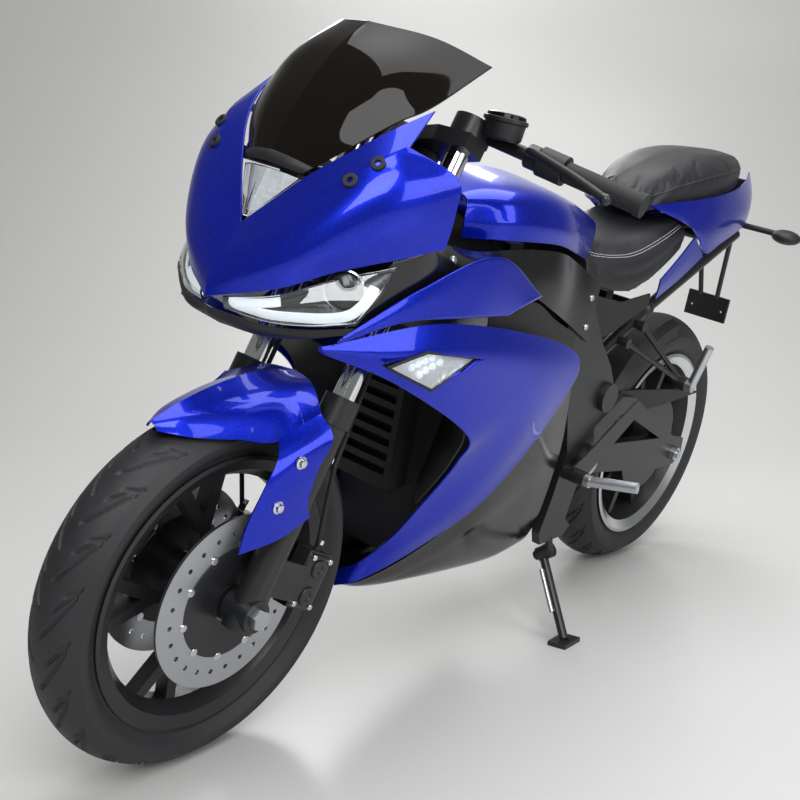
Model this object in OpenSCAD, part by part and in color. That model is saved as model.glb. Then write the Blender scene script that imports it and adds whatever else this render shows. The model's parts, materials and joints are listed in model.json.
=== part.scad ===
// Electric sport motorcycle with full fairing, parked on its side stand.
// Millimetres. The machine is drawn upright, x forward from the rear axle, y to the rider's left,
// z up from the ground, and bike() then leans the whole onto the stand.

/* [Stance] */
// Lean to the left on the side stand
lean = 12; // [8:0.5:15]
// Steering head angle from the vertical
rake = 25; // [22:0.5:28]
// Steering axis, distance ahead of the rear axle at head height
head_x = 1045; // [1020:1:1070]
// Middle of the steering head above the ground
head_z = 900; // [880:1:920]
// Fork axis ahead of the steering axis
fork_offset = 38; // [32:1:44]
// Swingarm spindle ahead of the rear axle
pivot_x = 480; // [470:1:490]
// Swingarm spindle above the ground
pivot_z = 385; // [375:1:395]
// Straight length of the swingarm, spindle to axle
swing_length = 486; // [476:1:496]

/* [Wheels] */
// Front tyre outer radius
front_tyre_r = 293; // [285:1:298]
// Front tyre half width
front_tyre_w = 55; // [50:1:58]
// Front tyre crown radius
front_crown_r = 60; // [58:1:66]
// Rear tyre outer radius
rear_tyre_r = 308; // [298:1:314]
// Rear tyre half width
rear_tyre_w = 70; // [64:1:74]
// Rear tyre crown radius
rear_crown_r = 75; // [74:1:82]
// Bead seat radius of both rims
bead_r = 216; // [212:1:218]
// Rim flange radius
flange_r = 226; // [222:1:230]
// Front rim half width
front_rim_w = 42; // [38:1:46]
// Rear rim half width
rear_rim_w = 62; // [56:1:66]
// Hub motor drum radius
motor_r = 118; // [100:1:130]
// Hub motor drum half width
motor_w = 58; // [50:1:64]
// Front brake disc outer radius
disc_r = 141; // [130:1:150]
// Brake disc thickness
disc_t = 5; // [4:0.5:6]
// Front brake disc middle plane from the centre line
disc_y = 63; // [61:0.5:64]
// Axle radius
axle_r = 9; // [8:0.5:10]

/* [Fork] */
// Fork tube spacing from the centre line
fork_y = 98; // [96:1:104]
// Chrome tube radius
tube_r = 18.5; // [17:0.5:20]
// Lower leg radius
leg_r = 25; // [23:0.5:26]
// Dust seal collar radius
seal_r = 29; // [27:0.5:30]
// Seal top above the axle, along the fork
seal_top = 350; // [340:1:360]
// Fork tube top above the head middle, along the steering axis
tube_top = 122; // [118:1:126]
// Half height of the steering head
head_half = 75; // [70:1:80]
// Steering head outer radius
head_r = 33; // [30:1:36]
// Steering stem radius
stem_r = 20; // [16:0.5:22]
// Clamp plate thickness
clamp_t = 24; // [20:1:28]

/* [Controls] */
// Bar end from the centre line
bar_end_y = 372; // [360:1:385]
// Handlebar tube radius
bar_r = 11; // [10:0.5:12]
// Grip radius
grip_r = 16.5; // [15:0.5:18]
// Grip length
grip_length = 128; // [118:1:135]
// Foot peg length
peg_length = 98; // [90:1:105]
// Foot peg radius
peg_r = 11; // [9:0.5:12]

/* [Bodywork] */
// Thickness of the moulded panels
skin_t = 3.5; // [2.5:0.5:4]
// Windscreen thickness
screen_t = 4; // [3:0.5:5]
// Half width of the battery case
battery_w = 85; // [75:1:88]
// Mirror screw hole radius
mirror_hole_r = 4.2; // [3.2:0.1:4.5]
// Number plate hole radius
plate_hole_r = 3.2; // [2.5:0.1:3.5]
// Number plate hole spacing
plate_hole_pitch = 80; // [70:1:90]

/* [Side stand] */
// Foot ahead of the rear axle
foot_x = 590; // [575:1:605]
// Foot from the tyre line, on the ground
foot_y = 250; // [240:1:260]
// Leg radius
stand_r = 9; // [8:0.5:10]
// Stand pivot ahead of the rear axle
stand_x = 540; // [530:1:550]
// Stand pivot from the centre line
stand_y = 128; // [124:1:132]
// Stand pivot above the ground
stand_z = 186; // [182:1:190]

/* [Hidden] */
$fn = 48;
fit = 0.3;
front_z = front_tyre_r;
lift = front_crown_r * (1 - cos(lean));
rear_z = rear_tyre_r - rear_crown_r + (rear_crown_r - lift) / cos(lean);
axle_drop = (front_z - head_z - fork_offset * sin(rake)) / cos(rake);
front_x = head_x + fork_offset * cos(rake) - axle_drop * sin(rake);
rear_x = pivot_x - sqrt(pow(swing_length, 2) - pow(pivot_z - rear_z, 2));
frame_y = 124;
plate_t = 18;
arm_y = 96;
arm_t = 26;
spindle_r = 15;
stay_y = 118;
stay_r = 10;
hub_r = 30;
stud_r = 6;
tray_y = 60;
battery_x = 972;

// Bars: line of the grip in the steering frame (forward, left, along the axis).
bar_root = [-3, fork_y, 125];
bar_slope = [-0.222, 1, -0.092];
bar_end = bar_root + bar_slope * (bar_end_y - fork_y);

peg_root = [552, frame_y + plate_t + 48, 376];
peg_dir = [-0.17, 1, 0.2] / norm([-0.17, 1, 0.2]);
peg_tip = peg_root + [0, 8, 0] + peg_dir * peg_length;

left_reach = to_world(from_steer(bar_end))[1] + grip_r + 3;
right_reach = -to_world([0, -peg_tip[1], peg_tip[2]])[1] + peg_r;
origin_x = (front_x + front_tyre_r + rear_x - rear_tyre_r) / 2;
origin_y = (left_reach - right_reach) / 2;

// Side stand: pivot and foot in the leaned frame, and the pivot axis square to the leg.
stand_pivot = [stand_x, stand_y, stand_z];
stand_foot = from_world([foot_x, foot_y, 8]);
stand_leg = stand_foot - stand_pivot;
stand_axis = [0, -stand_leg[2], stand_leg[1]] / norm([0, stand_leg[2], stand_leg[1]]);

// Frames of reference
function to_world(p) = [p[0], p[1] * cos(lean) + p[2] * sin(lean), -p[1] * sin(lean) + p[2] * cos(lean) + lift];
function from_world(p) = [p[0], p[1] * cos(lean) - (p[2] - lift) * sin(lean),
    p[1] * sin(lean) + (p[2] - lift) * cos(lean)];
function from_steer(p) = [head_x + p[0] * cos(rake) - p[2] * sin(rake), p[1],
    head_z + p[0] * sin(rake) + p[2] * cos(rake)];

module bike() translate([-origin_x, -origin_y, lift]) rotate([-lean, 0, 0]) children();
module steer() bike() translate([head_x, 0, head_z]) rotate([0, -rake, 0]) children();
module axle_frame() steer() translate([fork_offset, 0, axle_drop]) children();
module both() {
    children();
    mirror([0, 1, 0]) children();
}

// A round bar between two points
module rod(a, b, r) {
    d = b - a;
    translate(a) rotate([0, acos(d[2] / norm(d)), atan2(d[1], d[0])]) cylinder(h = norm(d), r = r);
}
// A round bar across the machine, from y0 to y1
module cross_bar(x, z, y0, y1, r) translate([x, y0, z]) rotate([-90, 0, 0]) cylinder(h = y1 - y0, r = r);
// A plate seen from the side, from y0 to y1
module side_plate(outline, y0, y1) translate([0, y1, 0]) rotate([90, 0, 0]) linear_extrude(y1 - y0) polygon(outline);

// A smooth curve through the points of a line, u from 0 to 1
function blend(a, b, c, d, t) = b + (c - a) * (t / 2) + (a - b * 2.5 + c * 2 - d / 2) * (t * t)
    + (b * 1.5 - c * 1.5 + (d - a) / 2) * (t * t * t);
function on_line(l, u) = let (n = len(l) - 1, s = min(max(u, 0), 1) * n, i = min(floor(s), n - 1))
    blend(i > 0 ? l[i - 1] : l[0] * 2 - l[1], l[i], l[i + 1], i < n - 1 ? l[i + 2] : l[n] * 2 - l[n - 1], s - i);
function on_net(net, u, v) = on_line([for (l = net) on_line(l, u)], v);
function unit(v) = v / norm(v);
function net_normal(net, u, v) = let (e = 0.01)
    unit(cross(on_net(net, min(u + e, 1), v) - on_net(net, max(u - e, 0), v),
        on_net(net, u, min(v + e, 1)) - on_net(net, u, max(v - e, 0))));
function flip_y(p) = [p[0], -p[1], p[2]];

// Closed solid between two grids of points that have the same rows and columns
module between(top, low) {
    n = len(top);
    m = len(top[0]);
    pts = concat([for (r = top) each r], [for (r = low) each r]);
    k = n * m;
    quads = concat(
        [for (i = [0:n - 2], j = [0:m - 2]) [i * m + j, (i + 1) * m + j, (i + 1) * m + j + 1, i * m + j + 1]],
        [for (i = [0:n - 2], j = [0:m - 2])
            [k + i * m + j, k + i * m + j + 1, k + (i + 1) * m + j + 1, k + (i + 1) * m + j]],
        [for (i = [0:n - 2]) [i * m, k + i * m, k + (i + 1) * m, (i + 1) * m]],
        [for (i = [0:n - 2]) [(i + 1) * m + m - 1, k + (i + 1) * m + m - 1, k + i * m + m - 1, i * m + m - 1]],
        [for (j = [0:m - 2]) [j + 1, k + j + 1, k + j, j]],
        [for (j = [0:m - 2]) [(n - 1) * m + j, k + (n - 1) * m + j, k + (n - 1) * m + j + 1, (n - 1) * m + j + 1]]);
    polyhedron(pts, [for (q = quads, t = [[q[0], q[1], q[2]], [q[0], q[2], q[3]]]) t], convexity = 6);
}
// A panel of even thickness over a net of lines, nu by nv facets; a wall below nought lies on the other side
module panel(net, nu, nv, t) {
    us = [for (i = [0:nu]) i / nu];
    vs = [for (j = [0:nv]) j / nv];
    outer = [for (u = us) [for (v = vs) on_net(net, u, v)]];
    inner = [for (u = us) [for (v = vs) on_net(net, u, v) + net_normal(net, u, v) * t]];
    if (t > 0) between(outer, inner); else between(inner, outer);
}
// A panel that spans the centre line: lines run outward from the middle, rows go from left to right
module centre_panel(net, nu, nv, t) {
    us = [for (i = [0:nu]) i / nu];
    vs = [for (j = [-nv:nv]) j / nv];
    outer = [for (u = us) [for (v = vs) v < 0 ? flip_y(on_net(net, u, -v)) : on_net(net, u, v)]];
    inner = [for (u = us) [for (v = vs) let (w = abs(v), p = on_net(net, u, w),
        raw = net_normal(net, u, w), d = w == 0 ? unit([raw[0], 0, raw[2]]) : raw, q = p + d * t)
        v < 0 ? flip_y(q) : q]];
    if (t > 0) between(outer, inner); else between(inner, outer);
}
// A panel that wraps the nose: its first column lies on the centre line and the rest is mirrored
module nose_panel(net, nu, nv, t) {
    us = [for (i = [-nu:nu]) i / nu];
    vs = [for (j = [0:nv]) j / nv];
    outer = [for (u = us) [for (v = vs) u < 0 ? flip_y(on_net(net, -u, v)) : on_net(net, u, v)]];
    inner = [for (u = us) [for (v = vs) let (w = abs(u), raw = net_normal(net, w, v),
        d = w == 0 ? unit([raw[0], 0, raw[2]]) : raw, q = on_net(net, w, v) + d * t) u < 0 ? flip_y(q) : q]];
    if (t > 0) between(outer, inner); else between(inner, outer);
}
// A peg from inside a panel to the plane y = y1, square to the centre line
module panel_peg(net, u, v, t, y1, r) {
    p = on_net(net, u, v) + net_normal(net, u, v) * t * 0.75;
    cross_bar(p[0], p[2], min(p[1], y1), max(p[1], y1), r);
}

// Frame: steering head, twin spars, cast pivot plates
module main_frame() color("#1b1c1e") bike() {
    difference() {
        union() {
            translate([head_x, 0, head_z]) rotate([0, -rake, 0]) cylinder(h = 2 * head_half, r = head_r, center = true);
            translate([head_x, 0, head_z]) rotate([0, -rake, 0]) translate([-112, -56, -62]) cube([100, 112, 82]);
        }
        translate([head_x, 0, head_z]) rotate([0, -rake, 0]) cylinder(h = 3 * head_half, r = stem_r + fit, center = true);
    }
    both() hull() {
        translate([960, 30, 806]) cube([16, 26, 82]);
        translate([646, 98, 600]) cube([14, 26 - fit, 110]);
    }
    cross_bar(660, 640, -100, 100, 16);
    both() cross_bar(spar_stud[0], spar_stud[2], 70, 140, stud_r + 2);
    translate([780, -80, 760]) cube([40, 160, 70]);
}
module frame_plates() color("#1b1c1e") bike() {
    outline = [[668, 712], [605, 742], [520, 640], [462, 585], [428, 540], [432, 498], [472, 452], [444, 402],
        [446, 362], [488, 330], [505, 262], [478, 240], [500, 222], [588, 222], [600, 250], [578, 330],
        [562, 420], [602, 520], [676, 590]];
    both() difference() {
        union() {
            side_plate(outline, frame_y, frame_y + plate_t);
            cross_bar(456, 520, frame_y, frame_y + plate_t + 12, 30);
            cross_bar(pivot_x, pivot_z, frame_y, frame_y + plate_t + 8, 34);
        }
        cross_bar(pivot_x, pivot_z, 0, 200, spindle_r + fit);
    }
    cross_bar(560, 250, -frame_y, frame_y, 14);
    cross_bar(610, 690, -frame_y, frame_y, 14);
    stand_bracket();
}
// Lug and pin that carry the side stand, on the left plate
module stand_bracket() {
    a = stand_axis;
    rod(stand_pivot + a * 10, stand_pivot + a * 24, 16);
    rod(stand_pivot + a * 17, [stand_x + 5, frame_y + plate_t / 2, 240], 8);
    rod(stand_pivot - a * 15, stand_pivot + a * 12, 6);
    rod(stand_pivot - a * 18, stand_pivot - a * 14, 10);
}
module rear_spindles() color("#8d9094") bike() {
    cross_bar(rear_x, rear_z, -arm_y - arm_t - 18, arm_y + arm_t + 18, axle_r);
    both() cross_bar(rear_x, rear_z, arm_y + arm_t + fit, arm_y + arm_t + 13, 16);
    cross_bar(pivot_x, pivot_z, -frame_y - plate_t - 12, frame_y + plate_t + 12, spindle_r);
    both() cross_bar(pivot_x, pivot_z, frame_y + plate_t + 8 + fit, frame_y + plate_t + 18, 24);
}
// Round tubes that carry the seats
lug_y = 104;
lug_rear = [300, 645];
lug_front = [356, 614];
module subframe() color("#1d1e20") bike() {
    low = [452, 80, 562];
    bend = [250, 84, 672];
    end = [-170, 66, 820];
    high = [570, 60, 672];
    both() {
        rod(low, bend, 13);
        translate(bend) sphere(r = 19);
        rod(bend, end, 13);
        rod(high, [bend[0], high[1], bend[2]], 9);
        cross_bar(low[0], low[2], 76, frame_y - fit, 17);
        cross_bar(high[0], high[2], 54, frame_y - fit, 12);
        cross_bar(lug_rear[0], lug_rear[1], 80, lug_y, 9);
        cross_bar(lug_front[0], lug_front[1], 80, lug_y, 9);
        cross_bar(450, high[2], high[1], 108 - fit, 6);
    }
    cross_bar(bend[0], bend[2], -bend[1], bend[1], 11);
    cross_bar(-120, 802, -70, 70, 11);
    translate([386, -72, 676]) cube([30, 144, 42]);
}
// Stay ahead of the steering head that carries cowl, lamps and screen
module fairing_stay() color("#222326") bike() {
    translate([head_x, 0, head_z]) rotate([0, -rake, 0]) translate([head_r + fit, -14, -62]) cube([190, 28, 26]);
    translate([post_rear, -18, 770]) cube([post_front - post_rear, 36, 184]);
    cross_bar(cowl_stud[0], cowl_stud[2], -stay_y, stay_y, stay_r);
    cross_bar(1273, 790, -52, 52, stay_r);
    both() {
        p = on_net(screen_net, 0.5, 0.9);
        n = net_normal(screen_net, 0.5, 0.9);
        rod(p + n * (screen_t + 0.8), p + n * 24, 5);
        rod(p + n * 18, [cowl_stud[0], 100, cowl_stud[2]], 6.5);
    }
}
module battery_case() color("#17181a") bike() {
    difference() {
        union() {
            translate([612, -battery_w, 262]) cube([battery_x - 612, 2 * battery_w, 330]);
            translate([676, -battery_w + 8, 592]) cube([262, 2 * battery_w - 16, 70]);
            translate([950, -62, 400]) cube([74, 124, 210]);
        }
        for (i = [0:6]) translate([1006, -50, 424 + i * 26]) cube([30, 100, 14]);
        cross_bar(660, 640, -200, 200, 16 + fit);
    }
    for (s = [fairing_stud, chin_stud, belly_stud, cover_stud])
        cross_bar(s[0], s[2], -battery_w - 40, battery_w + 40, stud_r + 2);
}

// Rear end
module swingarm() color("#1a1b1d") bike() {
    outer = [[pivot_x + 34, pivot_z - 22], [pivot_x + 30, pivot_z + 24], [pivot_x - 20, pivot_z + 42],
        [330, 494], [272, 486], [rear_x + 20, rear_z + 46], [rear_x - 44, rear_z + 30], [rear_x - 52, rear_z - 14],
        [rear_x - 20, rear_z - 32], [rear_x + 60, rear_z - 30], [pivot_x - 30, pivot_z - 42]];
    window = [[pivot_x - 88, pivot_z + 28], [318, 454], [290, 448], [rear_x + 92, rear_z + 52], [320, pivot_z + 2]];
    both() difference() {
        side_plate(outer, arm_y, arm_y + arm_t);
        side_plate(window, arm_y - 1, arm_y + arm_t + 1);
        cross_bar(pivot_x, pivot_z, 0, 200, spindle_r + fit);
        cross_bar(rear_x, rear_z, 0, 200, axle_r + fit);
    }
    difference() {
        translate([372, -arm_y, 358]) cube([64, 2 * arm_y, 56]);
        cross_bar(pivot_x, pivot_z, -200, 200, spindle_r + fit);
    }
    translate([384, -22, 414]) cube([40, 8, 46]);
    translate([384, 14, 414]) cube([40, 8, 46]);
}
module rear_shock() color("#b7b9bc") bike() {
    low = [404, 0, 440];
    high = [548, 0, 664];
    d = unit(high - low);
    cross_bar(low[0], low[2], -13.7, 13.7, 14);
    rod(low + d * 8, low + d * 120, 12);
    rod(low + d * 100, high, 22);
    for (i = [0:8]) rod(low + d * (44 + i * 17), low + d * (52 + i * 17), 32);
    rod(low + d * 40, low + d * 196, 26);
    cross_bar(high[0], high[2], -20, 20, 16);
    rod(high + [2, 0, 0], [610 - 14 - fit, 0, 690 - 6], 12);
}
module rear_caliper() color("#202124") bike() {
    translate([rear_x + 62, -arm_y + fit, rear_z + 36]) cube([82, 17, 58]);
}
module rear_hugger() color("#1c1d1f") bike() {
    r = rear_tyre_r + 14;
    translate([rear_x, 0, rear_z]) rotate([90, 0, 0]) rotate([0, 0, 22]) rotate_extrude(angle = 60, $fn = 72)
        polygon([[r - 40, 80], [r - 12, 80], [r, 62], [r, -62], [r - 12, -80], [r - 40, -80], [r - 40, -77],
            [r - 13, -77], [r - 3, -61], [r - 3, 61], [r - 13, 77], [r - 40, 77]]);
    both() side_plate([[rear_x + 292, rear_z + 150], [rear_x + 262, rear_z + 178], [rear_x + 30, rear_z + 150],
        [rear_x - 168, rear_z + 118], [rear_x + 40, rear_z + 112], [rear_x + 250, rear_z + 112]], 78, 83);
    both() cross_bar(rear_x + 270, rear_z + 150, 80, arm_y - fit, 9);
}

// Front bodywork tables: lines from the lowest to the highest, columns from the nose to the rear edge
cowl_net = [
    [[1438, 0, 756], [1392, 92, 789], [1338, 142, 822], [1268, 188, 848], [1199, 216, 868]],
    [[1434, 0, 782], [1402, 88, 822], [1352, 150, 862], [1280, 200, 900], [1200, 223, 922]],
    [[1420, 0, 812], [1392, 80, 858], [1345, 148, 912], [1285, 192, 950], [1204, 219, 968]],
    [[1403, 0, 838], [1370, 72, 892], [1320, 134, 958], [1290, 158, 985], [1262, 172, 1000]],
    [[1387, 0, 860], [1340, 62, 935], [1296, 108, 985], [1250, 138, 1022], [1202, 158, 1050]]];
screen_net = [
    [[1354, 0, 948], [1318, 0, 1014], [1280, 0, 1068], [1240, 0, 1110], [1188, 0, 1150]],
    [[1349, 32, 945], [1308, 62, 1008], [1266, 80, 1058], [1222, 92, 1098], [1146, 94, 1143]],
    [[1336, 57, 940], [1293, 104, 989], [1247, 133, 1027], [1199, 153, 1055], [1086, 158, 1118]]];
lens_net = [
    [[1384, 0, 868], [1373, 0, 902], [1359, 0, 938]],
    [[1384, 2, 868], [1369, 15, 901], [1352, 30, 936]],
    [[1383, 4, 868], [1363, 30, 899], [1340, 55, 931]]];
lamp_net = [
    [[1420, 22, 744], [1386, 78, 741], [1352, 118, 745], [1316, 156, 752]],
    [[1424, 22, 753], [1390, 86, 762], [1348, 134, 780], [1296, 174, 796]],
    [[1424, 22, 760], [1387, 88, 780], [1335, 136, 812], [1266, 180, 838]]];
mask_net = [
    [[1404, 0, 716], [1380, 60, 712], [1346, 104, 712], [1318, 138, 716]],
    [[1424, 0, 728], [1398, 66, 725], [1352, 114, 727], [1318, 150, 732]],
    [[1430, 0, 740], [1390, 78, 736], [1350, 122, 739], [1316, 156, 746]]];

cowl_at = [0.72, 0.45];
cowl_stud = on_net(cowl_net, cowl_at[0], cowl_at[1]);
post_rear = 1260;
post_front = cowl_stud[0] + 14;
mirror_dir = net_normal(cowl_net, 0.57, 0.71);
mirror_holes = [[0.48, 0.70], [0.66, 0.72]];
module front_cowl() color("#1a2fd0") bike() difference() {
    union() {
        nose_panel(cowl_net, 12, 8, -skin_t);
        both() net_peg(cowl_net, cowl_at, stay_y + fit, -skin_t);
        both() for (h = mirror_holes) mirror_boss(h, 11, -14, -1.5);
    }
    both() for (h = mirror_holes) mirror_boss(h, mirror_hole_r, -30, 20);
}
// Round boss on the inside of the cowl, square to its skin
module mirror_boss(uv, r, from, to) {
    p = on_net(cowl_net, uv[0], uv[1]);
    rod(p + mirror_dir * from, p + mirror_dir * to, r);
}
module nose_lens() color("#c9d2d8") bike() {
    centre_panel(lens_net, 6, 3, skin_t);
    translate([post_front + fit, 0, 905]) rotate([0, 90, 0]) cylinder(h = 1368 - post_front, r = 7);
}
module windscreen() color("#3a3633") bike() centre_panel(screen_net, 14, 8, screen_t);
module headlamp_lenses() color("#dfe6ea") bike() both() panel(lamp_net, 8, 5, -2.5);
module headlamp_housings() color("#26282b") bike() both() {
    us = [for (i = [0:8]) i / 8];
    vs = [for (j = [0:4]) j / 4];
    between([for (u = us) [for (v = vs) on_net(lamp_net, u, v) + [-34 - 20 * u, -14 - 20 * u, 2]]],
        [for (u = us) [for (v = vs) let (edge = u == 0 || u == 1 || v == 0 || v == 1)
            on_net(lamp_net, u, v) - net_normal(lamp_net, u, v) * (edge ? 3.2 : 22)]]);
    rod([1286, 116, 792], [1273, 70, 790], 7);
    cross_bar(1273, 790, 52 + fit, 80, 7);
}
module nose_mask() color("#141517") bike() {
    nose_panel(mask_net, 8, 5, -skin_t);
    translate([post_front + fit, 0, 785]) rotate([0, 90, 0]) cylinder(h = 1340 - post_front, r = 7);
    rod([1338, 0, 785], [1414, 0, 734], 8);
}

// Side bodywork tables: columns from the nose round the open front edge to the chin
fairing_net = [
    [[1346, 140, 718], [1236, 196, 660], [1040, 206, 560], [1026, 190, 470], [1042, 142, 362], [1054, 62, 244]],
    [[1348, 146, 722], [1170, 214, 706], [900, 222, 640], [880, 206, 520], [965, 158, 374], [1050, 62, 236]],
    [[1350, 144, 727], [1120, 206, 752], [740, 212, 676], [770, 204, 545], [900, 172, 410], [1044, 58, 226]]];
fin_net = [
    [[1346, 152, 731], [1230, 190, 756], [1110, 208, 758], [990, 208, 752]],
    [[1345, 154, 735], [1215, 193, 780], [1070, 208, 805], [940, 210, 768]],
    [[1344, 153, 738], [1200, 192, 806], [1040, 206, 848], [890, 205, 776]]];
inner_net = [
    [[1222, 186, 672], [1050, 196, 574], [1032, 180, 476], [1040, 134, 374]],
    [[1190, 172, 664], [1010, 160, 570], [1000, 140, 474], [1015, 110, 380]],
    [[1160, 166, 660], [960, 100, 566], [965, 96, 472], [980, 90, 390]]];
belly_net = [
    [[1036, 0, 200], [950, 0, 180], [820, 0, 170], [690, 0, 172], [592, 0, 192]],
    [[1038, 34, 206], [950, 70, 190], [820, 95, 180], [690, 105, 190], [600, 110, 222]],
    [[1042, 48, 214], [975, 100, 232], [850, 148, 318], [726, 166, 396], [640, 166, 424]],
    [[1046, 54, 220], [1000, 110, 266], [902, 166, 404], [784, 190, 522], [690, 188, 584]]];
cover_net = [
    [[1000, 184, 690], [860, 188, 650], [740, 180, 600], [650, 160, 560]],
    [[1000, 184, 722], [870, 186, 706], [750, 174, 660], [650, 154, 618]],
    [[1000, 182, 752], [880, 184, 760], [770, 170, 716], [650, 150, 672]]];
spar_net = [
    [[1110, 184, 812], [1010, 182, 800], [900, 178, 778], [790, 170, 735], [690, 152, 696], [592, 148, 650]],
    [[1128, 180, 835], [1010, 168, 826], [900, 170, 812], [785, 168, 790], [685, 148, 756], [590, 146, 716]],
    [[1140, 172, 856], [1010, 142, 840], [900, 152, 842], [780, 158, 833], [680, 138, 806], [588, 146, 760]]];
tank_net = [
    [[985, 0, 925], [905, 0, 948], [800, 0, 946], [665, 0, 922], [528, 0, 884]],
    [[994, 86, 916], [915, 120, 931], [800, 130, 926], [670, 108, 900], [545, 78, 866]],
    [[1002, 100, 882], [925, 150, 892], [800, 166, 882], [680, 138, 858], [566, 98, 832]],
    [[1000, 100, 850], [930, 148, 855], [800, 160, 847], [690, 138, 822], [580, 100, 797]]];

fairing_at = [0.42, 0.55];
chin_at = [0.74, 0.55];
belly_at = [0.62, 0.72];
cover_at = [0.62, 0.30];
spar_at = [0.54, 0.30];
inner_at = [0.45, 0.92];
function stud(net, at) = on_net(net, at[0], at[1]);
fairing_stud = stud(fairing_net, fairing_at);
chin_stud = stud(fairing_net, chin_at);
belly_stud = stud(belly_net, belly_at);
cover_stud = stud(cover_net, cover_at);
spar_stud = stud(spar_net, spar_at);
indicator_corners = [[1260, 199, 695], [1188, 211, 714], [1065, 217, 694], [1158, 208, 651]];

module net_peg(net, at, y1, t) panel_peg(net, at[0], at[1], t, y1, stud_r);
// Left side: boomerang panel with its upper fin, a window for the indicator and two studs
module side_panels() {
    face = battery_w + 40 + fit;
    difference() {
        union() {
            panel(fairing_net, 18, 6, -skin_t);
            panel(fin_net, 9, 4, -skin_t);
            rod([1180, 200, 776], [1180, 203, 735], 5);
        }
        side_plate([for (c = indicator_corners) [c[0], c[2]]], 150, 260);
    }
    net_peg(fairing_net, fairing_at, face, -skin_t);
    net_peg(fairing_net, chin_at, face, -skin_t);
}
module side_fairing_left() color("#1a2fd0") bike() side_panels();
module side_fairing_right() color("#1a2fd0") bike() mirror([0, 1, 0]) side_panels();
module front_indicators() color("#e8ecee") bike() both() {
    middle = [for (k = [0:2]) (indicator_corners[0][k] + indicator_corners[1][k] + indicator_corners[2][k] + indicator_corners[3][k]) / 4];
    inset = [for (c = indicator_corners) c + unit([middle[0] - c[0], 0, middle[2] - c[2]]) * 2 * fit];
    top = [for (c = inset) c + [0, 4, 0]];
    low = [for (c = inset) c - [0, 14, 0]];
    between([[low[0], low[1]], [low[3], low[2]]], [[top[0], top[1]], [top[3], top[2]]]);
}
module inner_fairings() color("#2a2b2e") bike() both() {
    panel(inner_net, 10, 4, skin_t);
    net_peg(inner_net, inner_at, battery_w + fit, skin_t);
}
module belly_pan() color("#131416") bike() {
    centre_panel(belly_net, 14, 9, -skin_t);
    both() net_peg(belly_net, belly_at, battery_w + 40 + fit, -skin_t);
}
module side_covers() color("#232427") bike() both() {
    panel(cover_net, 8, 4, -skin_t);
    net_peg(cover_net, cover_at, battery_w + 40 + fit, -skin_t);
}
module spar_covers() color("#18191b") bike() both() {
    panel(spar_net, 14, 4, -skin_t);
    net_peg(spar_net, spar_at, 140 + fit, -skin_t);
}
module tank_cover() color("#1a2fd0") bike() {
    centre_panel(tank_net, 12, 9, skin_t);
    translate([800, 0, 830 + fit]) cylinder(h = 112, r = 14);
}

// Seats and tail
rider_top = [
    [[540, 0, 838], [470, 0, 822], [390, 0, 826], [290, 0, 848], [196, 0, 874]],
    [[548, 60, 824], [470, 76, 812], [390, 82, 818], [290, 82, 842], [196, 76, 868]],
    [[556, 92, 786], [470, 116, 786], [390, 124, 790], [290, 126, 820], [196, 116, 852]],
    [[556, 98, 752], [470, 114, 734], [390, 120, 732], [290, 120, 768], [196, 112, 812]]];
rear_top = [
    [[362, 0, 962], [250, 0, 995], [120, 0, 1008], [0, 0, 1006], [-120, 0, 997], [-208, 0, 984]],
    [[354, 40, 957], [250, 70, 987], [120, 78, 1000], [0, 72, 1000], [-120, 54, 992], [-204, 26, 982]],
    [[342, 72, 940], [250, 104, 962], [120, 112, 978], [0, 104, 984], [-120, 82, 980], [-198, 44, 974]],
    [[334, 76, 912], [250, 104, 920], [120, 110, 930], [0, 103, 940], [-120, 82, 950], [-192, 44, 958]]];
tail_net = [
    [[326, 92, 894], [230, 114, 906], [100, 122, 918], [-20, 112, 931], [-130, 92, 944], [-222, 50, 960]],
    [[250, 118, 872], [160, 126, 852], [60, 124, 858], [-60, 112, 878], [-150, 92, 893], [-230, 60, 908]],
    [[172, 122, 842], [96, 120, 796], [20, 114, 812], [-80, 102, 832], [-165, 86, 846], [-228, 62, 854]]];
wedge_net = [
    [[292, 124, 748], [232, 125, 792], [176, 124, 835]],
    [[288, 122, 728], [212, 123, 768], [138, 121.5, 812]],
    [[280, 116, 704], [190, 117, 742], [102, 118.5, 789]]];

module cushion(net, nu, nv, base_z) {
    us = [for (i = [0:nu]) i / nu];
    vs = [for (j = [-nv:nv]) j / nv];
    top = [for (u = us) [for (v = vs) v < 0 ? flip_y(on_net(net, u, -v)) : on_net(net, u, v)]];
    low = [for (u = us) let (e = on_net(net, u, 1)) [for (v = vs) [e[0], e[1] * v, e[2] - base_z]]];
    between(top, low);
}
module rider_seat() color("#202123") bike() {
    cushion(rider_top, 10, 6, 6);
    translate([400, 0, 718 + fit]) cylinder(h = 24, r = 14);
}
module passenger_seat() color("#202123") bike() {
    cushion(rear_top, 12, 6, 5);
    translate([60, 0, 880 + fit]) cylinder(h = 70, r = 16);
}
module tail_cowl() color("#1a2fd0") bike() both() {
    panel(tail_net, 12, 5, skin_t);
    panel(wedge_net, 6, 3, skin_t);
    rod([160, 118.5, 805], [126, 118.5, 836], 3);
    net_peg(tail_net, tail_at, tray_y + fit, skin_t);
}
module tail_lamp() color("#a01018") bike() {
    translate([-236, -44, 900]) cube([16, 88, 44]);
}
tail_at = [0.72, 0.92];
tail_stud = stud(tail_net, tail_at);
module tail_tray() color("#17181a") bike() {
    translate([-216, -tray_y, 838]) cube([330, 2 * tray_y, 6]);
    translate([-220 + fit, -40, 838]) cube([12, 80, 106]);
    cross_bar(tail_stud[0], tail_stud[2], -tray_y, tray_y, stud_r + 4);
    translate([-130, -50, 813 + fit]) cube([20, 100, 27]);
    translate([60, 0, 840]) cylinder(h = 40, r = 16);
}
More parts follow.
